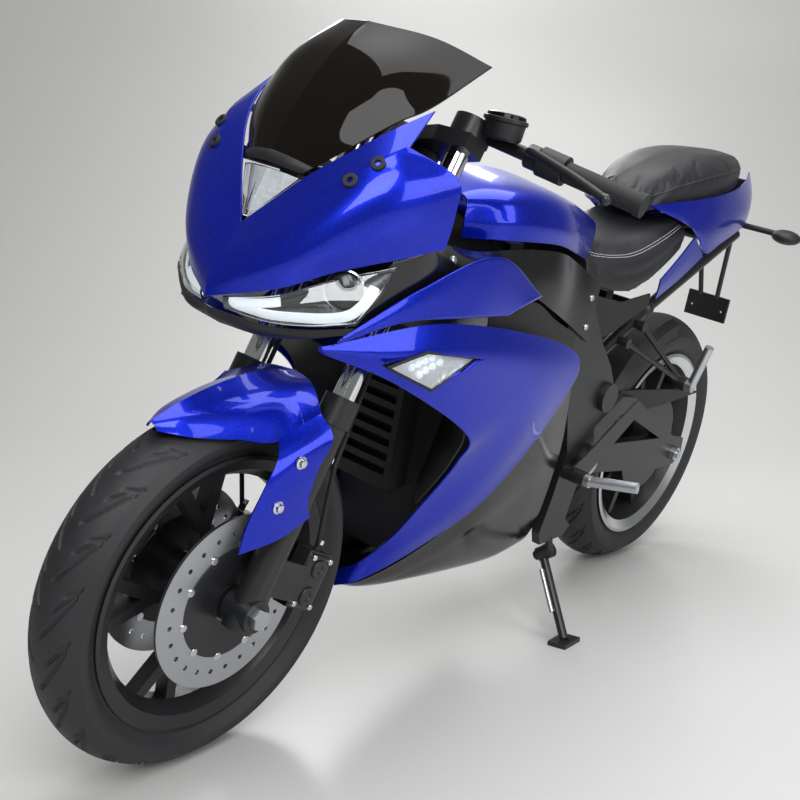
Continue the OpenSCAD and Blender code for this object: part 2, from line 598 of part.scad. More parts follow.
module seat_panels() color("#101113") bike() both() {
    side_plate([[536, 640], [546, 730], [420, 706], [300, 716], [296, 690], [440, 640]], 108, 112);
}
module plate_bracket() color("#191a1c") bike() {
    translate([-222, -50, 830]) cube([34, 100, 8 - fit]);
    both() rod([-212, 42, 834], [-272, 22, 640], 6);
    difference() {
        translate([-280, -55, 584]) cube([8, 110, 62]);
        for (s = [-1, 1]) translate([-300, s * plate_hole_pitch / 2, 610]) rotate([0, 90, 0]) cylinder(h = 60, r = plate_hole_r);
    }
}
module rear_indicators() color("#24262a") bike() both() {
    cross_bar(-200, 841, tray_y + fit, 150, 7);
    translate([-200, 178, 838]) scale([1, 1, 0.5]) sphere(r = 34);
}

// Foot pegs
module peg_brackets() color("#1d1e20") bike() both() {
    cross_bar(peg_root[0], peg_root[2], frame_y + plate_t + fit, peg_root[1], 15);
    side_plate([[566, 394], [552, 362], [500, 366], [330, 470], [338, 502], [352, 502], [520, 414]],
        frame_y + plate_t + 19, frame_y + plate_t + 23);
    for (l = [lug_rear, lug_front]) {
        cross_bar(l[0], l[1], lug_y + fit, lug_y + 14, 11);
        rod([l[0], lug_y + 8, l[1]], [114, 146, 510], 6);
    }
    cross_bar(110, 506, 138, 160, 16);
}
module foot_pegs() color("#c4c6c8") bike() both() {
    rod(peg_root + [0, fit, 0], peg_root + [0, 12, 0], 13);
    rod(peg_root + [0, 8, 0], peg_tip, peg_r);
    cross_bar(110, 506, 160 + fit, 176, 14);
    rod([110, 170, 506], [124, 196, 606], 10);
}

// Steering: everything below turns with the fork, drawn about the steering axis
module steering_clamps() color("#1f2022") steer() {
    cylinder(h = 2 * head_half + 2 * clamp_t, r = stem_r, center = true);
    for (s = [-1, 1]) difference() {
        translate([0, 0, s * (head_half + 1 + clamp_t / 2)]) linear_extrude(clamp_t, center = true)
            polygon([[-30, -34], [-30, 34], [fork_offset - 20, fork_y + 30], [fork_offset + 30, fork_y + 28],
                [fork_offset + 34, fork_y - 30], [40, 0], [fork_offset + 34, -fork_y + 30],
                [fork_offset + 30, -fork_y - 28], [fork_offset - 20, -fork_y - 30]]);
        both() translate([fork_offset, fork_y, 0]) cylinder(h = 400, r = tube_r + fit, center = true);
    }
}
module fork_tubes() color("#d7d9db") steer() both() {
    translate([fork_offset, fork_y, axle_drop + seal_top + fit])
        cylinder(h = tube_top - axle_drop - seal_top - fit, r = tube_r);
}
module fork_legs() color("#17181a") axle_frame() both() difference() {
    union() {
        translate([0, fork_y, -30]) cylinder(h = seal_top + 30, r = leg_r);
        translate([0, fork_y, seal_top - 44]) cylinder(h = 44, r = seal_r);
        translate([0, fork_y - leg_r - 1, 0]) rotate([-90, 0, 0]) cylinder(h = 2 * leg_r + 2, r = leg_r + 1);
        translate([14, fork_y, 140]) cube([52, 13.6, 26]);
        translate([14, fork_y - 8, 226]) cube([20, 10, 26]);
    }
    rotate([90, 0, 0]) cylinder(h = 400, r = axle_r + fit, center = true);
}
module front_axle() color("#b9bcbf") axle_frame() {
    rotate([90, 0, 0]) cylinder(h = 2 * fork_y + 60, r = axle_r, center = true);
    both() translate([0, fork_y + leg_r + 1 + fit, 0]) rotate([-90, 0, 0]) cylinder(h = 12, r = 17, $fn = 6);
}
// Fender in polar form about the axle: angle, radius, distance from the centre line
fender_net = [for (row = [
    [[36, 340, 0], [53, 354, 0], [65, 359, 0], [77, 360, 0], [90, 350, 0]],
    [[35, 336, 46], [52, 342, 60], [65, 344, 66], [77, 344, 66], [90, 338, 54]],
    [[34, 324, 66], [51, 292, 76], [65, 276, 78], [77, 274, 78], [91, 297, 62]]])
    [for (c = row) [c[1] * cos(c[0]), c[2], c[1] * sin(c[0])]]];
blade_net = [
    [[30, 80, 298], [36, 110, 236], [52, 116, 160], [84, 116, 80]],
    [[60, 82, 290], [66, 112, 232], [76, 117, 158], [92, 116, 84]],
    [[88, 80, 268], [92, 108, 226], [96, 116, 156], [100, 116, 88]]];
module front_fender() color("#1a2fd0") axle_frame() {
    centre_panel(fender_net, 10, 8, skin_t);
    both() panel(blade_net, 8, 3, skin_t);
}
module front_calipers() color("#1e1f21") axle_frame() both() difference() {
    union() {
        translate([-150, disc_y - 22, 20]) cube([62, 58, 96]);
        translate([-100, fork_y - 8, 30]) cube([100, 14, 60]);
    }
    translate([0, disc_y, 0]) rotate([90, 0, 0]) cylinder(h = disc_t + 12, r = disc_r + 6, center = true, $fn = 72);
    translate([0, fork_y, -60]) cylinder(h = 400, r = leg_r + fit);
}
module brake_hoses() color("#101112") axle_frame() both() {
    translate([-118, disc_y + 24, 116 + fit]) cylinder(h = 10, r = 6);
    bend = [-44, fork_y + 6, 250];
    rod([-118, disc_y + 24, 120], bend, 4);
    translate(bend) sphere(r = 4.4, $fn = 24);
    rod(bend, [-24, fork_y - 10, -axle_drop - head_half - clamp_t - 1 - fit], 4);
}
module handlebars() color("#1c1d1f") steer() both() {
    difference() {
        union() {
            translate([fork_offset, fork_y, head_half + clamp_t + 2]) cylinder(h = 30, r = 28);
            translate([-8, fork_y - 14, head_half + clamp_t + 4]) cube([30, 28, 32]);
            rod(bar_root, bar_end - bar_slope * 3, bar_r);
        }
        translate([fork_offset, fork_y, 0]) cylinder(h = 400, r = tube_r + fit);
    }
}
module grips() color("#151617") steer() both() difference() {
    union() {
        rod(bar_end - bar_slope * grip_length, bar_end - bar_slope * 10, grip_r);
        rod(bar_end - bar_slope * 11, bar_end, grip_r + 2);
    }
    rod(bar_root, bar_end - bar_slope * 2, bar_r + fit);
}
module switchgear() color("#202124") steer() both() difference() {
    rod(bar_end - bar_slope * (grip_length + 44), bar_end - bar_slope * (grip_length + 2), 23);
    rod(bar_root, bar_end, bar_r + fit);
}
module levers() color("#1a1b1d") steer() both() difference() {
    p = bar_end - bar_slope * (grip_length + 66);
    union() {
        rod(p, p + bar_slope * 18, 19);
        translate(p + [6, -6, -14]) cube([42, 28, 24]);
        translate(p + [14, -36, 10]) cube([34, 62, 30]);
        rod(p + [40, 12, -4], [24, bar_end_y - 18, 68], 6);
        translate([24, bar_end_y - 14, 66]) sphere(r = 9);
    }
    rod(bar_root, bar_end, bar_r + fit);
}

// Front wheel
module ring(profile) rotate([90, 0, 0]) rotate_extrude($fn = 96) polygon(profile);
// Section of a tyre: beads inside the rim flanges, walls, and the crown arc
function tyre_section(r, w, c, rim_w) = let (a = asin(w / c * 0.86), edge = r - c + c * cos(a))
    concat([[bead_r, -rim_w + 5], [flange_r + 5, -rim_w + 4], [flange_r + 20, -w * 0.96], [edge - 16, -w]],
        [for (i = [-6:6]) [r - c + c * cos(a * i / 6), c * sin(a * i / 6)]],
        [[edge - 16, w], [flange_r + 20, w * 0.96], [flange_r + 5, rim_w - 4], [bead_r, rim_w - 5]]);
function rim_section(w) = [[bead_r - fit, -w + 4], [flange_r, -w + 3.5], [flange_r, -w], [flange_r - 6, -w - 2],
    [bead_r - 14, -w * 0.86], [bead_r - 30, -w * 0.3], [bead_r - 30, w * 0.3], [bead_r - 14, w * 0.86],
    [flange_r - 6, w + 2], [flange_r, w], [flange_r, w - 3.5], [bead_r - fit, w - 4]];
module front_rim() color("#161719") axle_frame() difference() {
    union() {
        ring(rim_section(front_rim_w));
        rotate([90, 0, 0]) cylinder(h = 2 * disc_y + 8, r = hub_r, center = true);
        for (i = [0:4]) rotate([0, 72 * i + 18, 0]) y_spoke();
    }
    rotate([90, 0, 0]) cylinder(h = 400, r = axle_r + 0.5, center = true);
}
// One spoke that forks towards the rim
module y_spoke() rotate([90, 0, 0]) linear_extrude(26, center = true)
    polygon([[24, -15], [100, -10], [188, -46], [192, -28], [128, 0], [192, 28], [188, 46], [100, 10], [24, 15]]);
module front_discs() color("#b4b6b8") axle_frame() both() translate([0, disc_y, 0]) rotate([90, 0, 0]) difference() {
    linear_extrude(disc_t, center = true) difference() {
        circle(r = disc_r, $fn = 72);
        circle(r = hub_r + fit);
        for (i = [0:9]) rotate(36 * i) translate([68, 0]) circle(r = 13, $fn = 16);
        for (i = [0:23]) rotate(15 * i) translate([116, 0]) circle(r = 4, $fn = 13);
    }
}
module front_tyre() color("#1b1b1c") axle_frame() ring(tyre_section(front_tyre_r, front_tyre_w, front_crown_r, front_rim_w));

// Rear wheel with the hub motor
module rear_rim() color("#161719") bike() translate([rear_x, 0, rear_z]) difference() {
    union() {
        ring(rim_section(rear_rim_w));
        rotate([90, 0, 0]) cylinder(h = 2 * motor_w, r = motor_r, center = true, $fn = 72);
        rotate([90, 0, 0]) cylinder(h = 2 * motor_w + 36, r = 46, center = true);
        for (i = [0:9]) rotate([0, 36 * i, 0]) translate([motor_r - 8, -30, -9]) cube([bead_r - motor_r - 14, 60, 18]);
    }
    rotate([90, 0, 0]) cylinder(h = 400, r = axle_r + 0.5, center = true);
}
module rear_disc() color("#b4b6b8") bike() translate([rear_x, -motor_w - 12, rear_z]) rotate([90, 0, 0])
    linear_extrude(disc_t, center = true) difference() {
        circle(r = 110, $fn = 72);
        circle(r = 46 + fit);
        for (i = [0:17]) rotate(20 * i) translate([90, 0]) circle(r = 4, $fn = 13);
    }
module rear_tyre() color("#1b1b1c") bike() translate([rear_x, 0, rear_z])
    ring(tyre_section(rear_tyre_r, rear_tyre_w, rear_crown_r, rear_rim_w));

// Side stand
module side_stand() color("#18191b") bike() {
    difference() {
        union() {
            rod(stand_pivot - stand_axis * 9, stand_pivot + stand_axis * 9, 15);
            rod(stand_pivot, stand_foot, stand_r);
        }
        rod(stand_pivot - stand_axis * 30, stand_pivot + stand_axis * 30, 6.5);
    }
    rotate([lean, 0, 0]) translate([foot_x - 26, foot_y - 18, -lift]) cube([58, 40, 9]);
}
module stand_spring() color("#9a9c9f") bike() {
    d = unit(stand_leg);
    side = [18, 0, 0] - d * (18 * d[0]);
    for (s = [40, 120]) rod(stand_pivot + d * s + unit(side) * (stand_r + fit), stand_pivot + d * s + side, 3);
    rod(stand_pivot + d * 36 + side, stand_pivot + d * 124 + side, 5);
}

main_frame();
frame_plates();
subframe();
fairing_stay();
battery_case();
rear_spindles();
swingarm();
rear_shock();
rear_caliper();
rear_hugger();
front_cowl();
nose_lens();
windscreen();
headlamp_housings();
headlamp_lenses();
nose_mask();
side_fairing_left();
side_fairing_right();
front_indicators();
inner_fairings();
belly_pan();
side_covers();
spar_covers();
tank_cover();
rider_seat();
passenger_seat();
seat_panels();
tail_cowl();
tail_lamp();
tail_tray();
plate_bracket();
rear_indicators();
peg_brackets();
foot_pegs();
steering_clamps();
fork_tubes();
fork_legs();
front_axle();
front_fender();
front_calipers();
brake_hoses();
handlebars();
grips();
switchgear();
levers();
front_rim();
front_discs();
front_tyre();
rear_rim();
rear_disc();
rear_tyre();
side_stand();
stand_spring();
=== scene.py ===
import json
import bmesh
import bpy
import numpy as np
from mathutils import Matrix, Vector
from mathutils.bvhtree import BVHTree


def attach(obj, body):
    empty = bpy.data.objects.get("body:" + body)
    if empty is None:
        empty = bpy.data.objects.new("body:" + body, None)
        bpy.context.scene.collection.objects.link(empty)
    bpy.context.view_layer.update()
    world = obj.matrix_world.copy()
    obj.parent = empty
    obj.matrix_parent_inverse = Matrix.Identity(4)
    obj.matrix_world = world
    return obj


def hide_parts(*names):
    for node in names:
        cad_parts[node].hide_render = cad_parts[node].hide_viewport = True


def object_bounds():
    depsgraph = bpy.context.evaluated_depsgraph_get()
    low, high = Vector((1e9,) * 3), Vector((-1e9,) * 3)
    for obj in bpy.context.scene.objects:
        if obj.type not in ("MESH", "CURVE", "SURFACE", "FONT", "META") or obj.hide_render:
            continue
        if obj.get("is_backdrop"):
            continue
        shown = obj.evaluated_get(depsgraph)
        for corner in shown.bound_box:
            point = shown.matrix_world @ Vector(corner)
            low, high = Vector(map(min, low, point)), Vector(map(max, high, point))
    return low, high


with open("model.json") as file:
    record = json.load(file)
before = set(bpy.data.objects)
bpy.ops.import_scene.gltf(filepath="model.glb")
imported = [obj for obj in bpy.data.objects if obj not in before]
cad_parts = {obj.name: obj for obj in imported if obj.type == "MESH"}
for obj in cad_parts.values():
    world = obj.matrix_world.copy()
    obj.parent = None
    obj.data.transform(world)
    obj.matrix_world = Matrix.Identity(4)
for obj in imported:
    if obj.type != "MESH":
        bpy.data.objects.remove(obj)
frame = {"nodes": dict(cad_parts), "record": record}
cad_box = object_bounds()

# Studio: a pale floor that runs up into a pale wall, large soft lamps, and the camera at the
# photograph's place, left of the nose and about at chest height.
CAMERA_AT = Vector((1.8434, 1.1848, 0.890))
YAW, PITCH, ROLL = np.radians([-141.37, -10.30, 0.56])
FOCAL_PX, FRAME_PX, SENSOR_MM = 1167.5, 800, 36.0
ahead = Vector((np.cos(YAW) * np.cos(PITCH), np.sin(YAW) * np.cos(PITCH), np.sin(PITCH)))
level = Vector((np.sin(YAW), -np.cos(YAW), 0))
upward = level.cross(ahead)
right = level * np.cos(ROLL) + upward * np.sin(ROLL)
above = upward * np.cos(ROLL) - level * np.sin(ROLL)
camera = bpy.data.objects.new("camera", bpy.data.cameras.new("camera"))
camera.data.sensor_width = SENSOR_MM
camera.data.lens = FOCAL_PX / FRAME_PX * SENSOR_MM
camera.matrix_world = Matrix((
    (right.x, above.x, -ahead.x, CAMERA_AT.x), (right.y, above.y, -ahead.y, CAMERA_AT.y),
    (right.z, above.z, -ahead.z, CAMERA_AT.z), (0, 0, 0, 1)))
bpy.context.scene.collection.objects.link(camera)
bpy.context.scene.camera = camera
bpy.context.scene.view_settings.view_transform = "Standard"


def linear(code, alpha=1.0):
    """An sRGB hex colour as linear red, green, blue and alpha."""
    c = np.array([int(code[i:i + 2], 16) for i in (1, 3, 5)]) / 255
    c = np.where(c <= 0.04045, c / 12.92, ((c + 0.055) / 1.055) ** 2.4)
    return (*c.tolist(), alpha)


def add(tree, kind, inputs=None, **settings):
    """Adds a node; an input is a value, or the socket that it is linked from."""
    n = tree.nodes.new(kind)
    for key, value in settings.items():
        setattr(n, key, value)
    for key, value in (inputs or {}).items():
        if isinstance(value, bpy.types.NodeSocket):
            tree.links.new(value, n.inputs[key])
        else:
            n.inputs[key].default_value = value
    return n


def finish(name, colour, **sockets):
    """A named material with its one shader; further sockets are written with _ for a space."""
    m = bpy.data.materials.new(name)
    m.use_nodes = True
    shader = m.node_tree.nodes["Principled BSDF"]
    shader.inputs["Base Color"].default_value = linear(colour)
    for key, value in sockets.items():
        shader.inputs[key.replace("_", " ").title().replace("Ior", "IOR")].default_value = value
    return m, m.node_tree, shader


world = bpy.data.worlds.new("studio")
bpy.context.scene.world = world
world.use_nodes = True
sky = world.node_tree
path = add(sky, "ShaderNodeLightPath")
seen = add(sky, "ShaderNodeMath", {0: path.outputs["Is Camera Ray"], 1: path.outputs["Is Transmission Ray"]},
           operation="MAXIMUM")
sky_strength = add(sky, "ShaderNodeMapRange", {"Value": seen.outputs[0], "To Min": 0.24, "To Max": 0.86})
backdrop = sky.nodes["Background"]
backdrop.inputs["Color"].default_value = linear("#f4f4f2")
sky.links.new(sky_strength.outputs[0], backdrop.inputs["Strength"])

FLOOR_HALF, WALL_HEIGHT, COVE_R, WALL_AT = 9.0, 6.0, 1.6, -3.4
bend = np.linspace(0, np.pi / 2, 17)
run = np.concatenate([[FLOOR_HALF], WALL_AT + COVE_R - COVE_R * np.sin(bend), [WALL_AT]])
rise = np.concatenate([[0], COVE_R - COVE_R * np.cos(bend), [WALL_HEIGHT]])
floor_mesh = bpy.data.meshes.new("studio_floor")
across = np.array([-FLOOR_HALF, FLOOR_HALF])
FLOOR_TURN = np.radians(38.6)
local = np.stack([np.repeat(run, 2), np.tile(across, len(run)), np.repeat(rise, 2)], -1)
spun = np.stack([local[:, 0] * np.cos(FLOOR_TURN) - local[:, 1] * np.sin(FLOOR_TURN),
                 local[:, 0] * np.sin(FLOOR_TURN) + local[:, 1] * np.cos(FLOOR_TURN), local[:, 2]], -1)
quads = [(2 * i, 2 * i + 2, 2 * i + 3, 2 * i + 1) for i in range(len(run) - 1)]
floor_mesh.from_pydata(spun.tolist(), [], quads)
floor_mesh.shade_smooth()
floor = bpy.data.objects.new("studio_floor", floor_mesh)
bpy.context.scene.collection.objects.link(floor)
floor_mat, floor_tree, floor_shader = finish("painted_studio_floor", "#c9c9c8", roughness=0.28)
cloud = add(floor_tree, "ShaderNodeTexNoise", {"Scale": 3.0, "Detail": 4.0})
tone = add(floor_tree, "ShaderNodeMapRange", {"Value": cloud.outputs["Fac"], "To Min": 0.22, "To Max": 0.36})
floor_tree.links.new(tone.outputs[0], floor_shader.inputs["Roughness"])
floor_mesh.materials.append(floor_mat)
floor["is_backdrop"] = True

for name, place, aim, size, power in (
        ("key_lamp", (2.6, 2.2, 3.0), (0.2, 0.0, 0.5), 2.2, 110),
        ("top_lamp", (-0.4, 0.3, 3.4), (0.0, 0.0, 0.5), 2.6, 92),
        ("side_lamp", (0.2, 3.4, 1.6), (0.0, 0.0, 0.5), 2.0, 46),
        ("rim_lamp", (-2.4, -2.2, 2.4), (0.0, 0.0, 0.7), 1.6, 60)):
    light = bpy.data.lights.new(name, "AREA")
    light.energy, light.size = power, size
    light_object = bpy.data.objects.new(name, light)
    light_object.location = place
    light_object.rotation_mode = "QUATERNION"
    light_object.rotation_quaternion = (Vector(aim) - Vector(place)).to_track_quat("-Z", "Y")
    bpy.context.scene.collection.objects.link(light_object)


def paint_nodes(material, *names):
    """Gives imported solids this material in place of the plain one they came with."""
    for name in names:
        mesh = frame["nodes"][name].data
        mesh.materials.clear()
        mesh.materials.append(material)


# Frame: steering head, spars, pivot plates and the tubes that carry seat and fairing. Cast and
# welded steel with a satin black powder coat, whose fine orange peel breaks up its highlights.
powder_coat, coat_tree, coat_shader = finish("satin_powder_coat", "#1a1b1d", roughness=0.38, ior=1.5)
PER_METRE, PEEL_MM = 1000.0, 1.2


def bumped(tree, shader, kind, scale, strength, depth, height="Fac", **more):
    """Breaks up a surface: a texture in object coordinates, scale per metre, tilts the shading as if it
    were raised by depth metres."""
    place = add(tree, "ShaderNodeTexCoord")
    texture = add(tree, kind, {"Vector": place.outputs["Object"], "Scale": scale, **more})
    bump = add(tree, "ShaderNodeBump",
               {"Height": texture.outputs[height], "Strength": strength, "Distance": depth})
    tree.links.new(bump.outputs["Normal"], shader.inputs["Normal"])


bumped(coat_tree, coat_shader, "ShaderNodeTexNoise", PER_METRE / PEEL_MM, 0.12, 0.0004, Detail=2.0)
paint_nodes(powder_coat, "main_frame", "frame_plates", "subframe", "fairing_stay", "swingarm",
            "rear_caliper", "peg_brackets", "steering_clamps", "fork_legs", "front_calipers", "handlebars",
            "front_rim", "rear_rim", "side_stand", "plate_bracket")

# Battery case, mask, hugger and trays: black polypropylene from a sparked mould, so its fine
# grain scatters the light and the surface stays dull.
grained, grain_tree, grain_shader = finish("grained_polypropylene", "#141517", roughness=0.55, ior=1.49)
GRAIN_MM = 0.9
bumped(grain_tree, grain_shader, "ShaderNodeTexVoronoi", PER_METRE / GRAIN_MM, 0.25, 0.0003, "Distance")
paint_nodes(grained, "battery_case", "rear_hugger", "nose_mask", "headlamp_housings", "spar_covers",
            "tail_tray", "rear_indicators", "switchgear", "levers", "inner_fairings", "side_covers",
            "belly_pan", "seat_panels")

# Painted bodywork: cowl, side fairings, fin, tank cover, tail and fender. Injection moulded ABS
# about 3.5 mm thick, sprayed metallic blue and clear coated; pegs on the inside push into grommets.
LEAN, ORIGIN_MM, LIFT_MM = np.radians(12.0), (677.531, 184.206), 1.311
SKIN, RIDGE = 0.0035, np.radians(32)


def parked(p):
    """Upright machine in mm, x forward from the rear axle, leaned over into the row frame in metres."""
    x, y, z = np.moveaxis(np.asarray(p, float), -1, 0)
    return np.stack([x - ORIGIN_MM[0], y * np.cos(LEAN) + z * np.sin(LEAN) - ORIGIN_MM[1],
                     z * np.cos(LEAN) - y * np.sin(LEAN) + LIFT_MM], -1) / 1000


def curve(points, t):
    """A smooth cubic through every point of a line: each span blends its two ends with the slopes of
    their neighbours, and the line is carried on straight past its ends."""
    p = np.asarray(points, float)
    n = len(p) - 1
    q = np.concatenate([[2 * p[0] - p[1]], p, [2 * p[-1] - p[-2]]])
    s = np.clip(t, 0, 1) * n
    i = np.minimum(s.astype(int), n - 1)
    f = (s - i).reshape(i.shape + (1,) * (p.ndim - 1))
    a, b, c, d = q[i], q[i + 1], q[i + 2], q[i + 3]
    return (b + (c - a) * f / 2 + (a - 2.5 * b + 2 * c - d / 2) * f ** 2
            + (1.5 * b - 1.5 * c + (d - a) / 2) * f ** 3)


def skin(net, nu, nv):
    """Points of a panel: each line of the net is drawn as a smooth curve, then curves are drawn across."""
    lines = curve(np.swapaxes(np.asarray(net, float), 0, 1), np.linspace(0, 1, nu))
    return curve(np.swapaxes(lines, 0, 1), np.linspace(0, 1, nv))


def other_side(grid):
    """The same panel on the right: y changes sign and the columns run backwards, so faces still point out."""
    return grid[:, ::-1] * [1, -1, 1]


def both(grids):
    """Grids of the left side, followed by their mirror images."""
    return list(grids) + [other_side(g) for g in grids]


def nose(grid):
    """Joins a panel that starts on the centre line to its mirror image."""
    return np.concatenate([other_side(grid)[:, :-1], grid], 1)


def spine(grid):
    """Joins a panel whose first line is the centre line to its mirror image."""
    return np.concatenate([(grid * [1, -1, 1])[::-1][:-1], grid], 0)


def piece(name, grids, material, body, replaces=(), wall=0.0, edge=0.0, place=parked,
          window=None, closed=False):
    """Quads over each grid of points, rows by columns, but none whose middle lies in the window; a wall is
    grown inwards and its rim rounded. A closed form has its faces turned outwards."""
    verts, faces, base = [], [], 0
    for g in grids:
        rows, cols = g.shape[:2]
        k = np.arange(rows * cols).reshape(rows, cols) + base
        verts.append(place(g).reshape(-1, 3))
        quads = np.stack([k[:-1, :-1], k[:-1, 1:], k[1:, 1:], k[1:, :-1]], -1).reshape(-1, 4)
        if window:
            quads = quads[~window(g.reshape(-1, 3)[quads - base].mean(1))]
        faces.append(quads)
        base += rows * cols
    mesh = bpy.data.meshes.new(name)
    mesh.from_pydata(np.concatenate(verts).tolist(), [], np.concatenate(faces).tolist())
    joined = bmesh.new()
    joined.from_mesh(mesh)
    bmesh.ops.remove_doubles(joined, verts=joined.verts, dist=1e-6)
    if closed:
        bmesh.ops.dissolve_degenerate(joined, edges=joined.edges, dist=1e-7)
        bmesh.ops.recalc_face_normals(joined, faces=joined.faces)
    joined.to_mesh(mesh)
    joined.free()
    mesh.materials.append(material)
    mesh.shade_smooth()
    mesh.set_sharp_from_angle(angle=RIDGE)
    made = bpy.data.objects.new(name, mesh)
    bpy.context.scene.collection.objects.link(made)
    if wall:
        solid = made.modifiers.new("wall", "SOLIDIFY")
        solid.thickness, solid.offset = wall, -1.0
    if edge:
        round_rim = made.modifiers.new("rim", "BEVEL")
        round_rim.width, round_rim.segments, round_rim.limit_method = edge, 3, "ANGLE"
        round_rim.angle_limit = np.radians(60)
        round_rim.harden_normals = True
    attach(made, body)
    if replaces:
        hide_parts(*replaces)
    return made


blue_paint, blue_tree, blue_shader = finish(
    "metallic_blue_paint", "#04189c", metallic=0.72, roughness=0.3, coat_weight=0.5, coat_roughness=0.03,
    specular_ior_level=0.25)
# Real flakes are under 0.1 mm: they are drawn coarser, so that they show.
FLAKE_MM, blue_place = 1.6, add(blue_tree, "ShaderNodeTexCoord")
flake = add(blue_tree, "ShaderNodeTexVoronoi",
            {"Vector": blue_place.outputs["Object"], "Scale": PER_METRE / FLAKE_MM})
flake_tone = add(blue_tree, "ShaderNodeValToRGB", {"Fac": flake.outputs["Color"]})
flake_tone.color_ramp.elements[0].color = linear("#02159a")
flake_tone.color_ramp.elements[1].color = linear("#0528c8")
blue_tree.links.new(flake_tone.outputs["Color"], blue_shader.inputs["Base Color"])

cowl_net = [
    [[1438, 0, 756], [1392, 92, 789], [1338, 142, 822], [1268, 188, 848], [1199, 216, 868]],
    [[1434, 0, 782], [1402, 88, 822], [1352, 150, 862], [1280, 200, 900], [1200, 223, 922]],
    [[1420, 0, 812], [1392, 80, 858], [1345, 148, 912], [1285, 192, 950], [1204, 219, 968]],
    [[1403, 0, 838], [1370, 72, 892], [1320, 134, 958], [1290, 158, 985], [1262, 172, 1000]],
    [[1387, 0, 860], [1340, 62, 935], [1296, 108, 985], [1250, 138, 1022], [1202, 158, 1050]]]
brow = np.concatenate([skin(cowl_net[:4], 61, 37), skin(cowl_net[3:], 61, 13)[1:]])
piece("cowl_shell", [nose(brow)], blue_paint, "frame", ["front_cowl"], wall=SKIN, edge=0.0015)

fairing_net = [
    [[1346, 140, 709], [1222, 190, 662], [1034, 206, 558], [1012, 184, 496], [1034, 142, 402],
        [1046, 104, 332], [1062, 58, 272], [1066, 14, 242]],
    [[1348, 146, 713], [1170, 214, 704], [900, 222, 638], [880, 206, 522], [950, 166, 404], [1012, 118, 322],
        [1060, 62, 258], [1069, 18, 228]],
    [[1350, 144, 718], [1120, 206, 750], [742, 209, 664], [770, 204, 545], [884, 172, 398], [984, 118, 304],
        [1054, 64, 240], [1071, 22, 214]]]
fin_net = [
    [[1330, 158, 724], [1230, 190, 756], [1110, 208, 758], [990, 208, 752]],
    [[1329, 160, 728], [1215, 193, 780], [1070, 208, 805], [940, 210, 768]],
    [[1328, 159, 732], [1200, 192, 806], [1040, 206, 848], [890, 205, 776]]]
left_side = [skin(fairing_net, 281, 91), skin(fin_net, 61, 21)]
INDICATOR = np.array([[1260, 199, 695], [1188, 211, 714], [1065, 217, 694], [1158, 208, 651]], float)


def in_indicator(p):
    """True for points that lie, seen from the side, within the four corners of the indicator."""
    a, b = INDICATOR[:, [0, 2]], np.roll(INDICATOR[:, [0, 2]], -1, 0)
    q = p[:, None, [0, 2]] - a
    turn_of = (b - a)[:, 0] * q[..., 1] - (b - a)[:, 1] * q[..., 0]
    return np.all(turn_of > 0, 1) | np.all(turn_of < 0, 1)


piece("fairing_left", left_side, blue_paint, "frame", ["side_fairing_left"],
      wall=SKIN, window=in_indicator)
piece("fairing_right", [other_side(g) for g in left_side], blue_paint, "frame", ["side_fairing_right"],
      wall=SKIN, window=in_indicator)

tank_net = [
    [[985, 0, 925], [905, 0, 948], [800, 0, 946], [665, 0, 922], [528, 0, 884]],
    [[994, 86, 916], [915, 120, 931], [800, 130, 926], [670, 108, 900], [545, 78, 866]],
    [[1002, 100, 882], [925, 150, 892], [800, 166, 882], [680, 138, 858], [566, 98, 832]],
    [[1000, 100, 850], [930, 148, 855], [800, 160, 847], [690, 138, 822], [580, 100, 797]]]
piece("tank_shell", [spine(skin(tank_net, 61, 31))[::-1]], blue_paint, "frame", ["tank_cover"],
      wall=SKIN, edge=0.0015)

tail_net = [
    [[326, 78, 894], [236, 100, 906], [110, 114, 919], [-14, 106, 934], [-122, 80, 949], [-222, 42, 963]],
    [[250, 118, 872], [160, 126, 852], [60, 124, 858], [-60, 112, 878], [-150, 92, 893], [-230, 60, 908]],
    [[172, 122, 842], [96, 120, 796], [20, 114, 812], [-80, 102, 832], [-165, 86, 846], [-228, 62, 854]]]
wedge_net = [
    [[292, 124, 748], [232, 125, 792], [176, 124, 835]],
    [[288, 122, 728], [212, 123, 768], [138, 121.5, 812]],
    [[280, 116, 704], [190, 117, 742], [102, 118.5, 789]]]
tail_half = [skin(tail_net, 61, 21)[::-1], skin(wedge_net, 31, 13)[::-1]]
piece("tail_shell", both(tail_half), blue_paint, "frame", ["tail_cowl"], wall=SKIN, edge=0.0012)

# Front fender: one moulded blue shell over the tyre, with a blade down each fork leg that is
# screwed to the leg's lugs. It turns with the fork, so it is drawn about the front axle.
RAKE, HEAD_MM, FORK_OFFSET, AXLE_DROP = np.radians(25.0), (1045.0, 900.0), 38.0, -687.474


def steered(p):
    """Steering frame in mm, forward, left and up along the steering axis, to the row frame."""
    x, y, z = np.moveaxis(np.asarray(p, float), -1, 0)
    return parked(np.stack([HEAD_MM[0] + x * np.cos(RAKE) - z * np.sin(RAKE), y,
                            HEAD_MM[1] + x * np.sin(RAKE) + z * np.cos(RAKE)], -1))


def at_axle(p):
    """The steering frame moved to the front axle."""
    return steered(np.asarray(p, float) + [FORK_OFFSET, 0, AXLE_DROP])


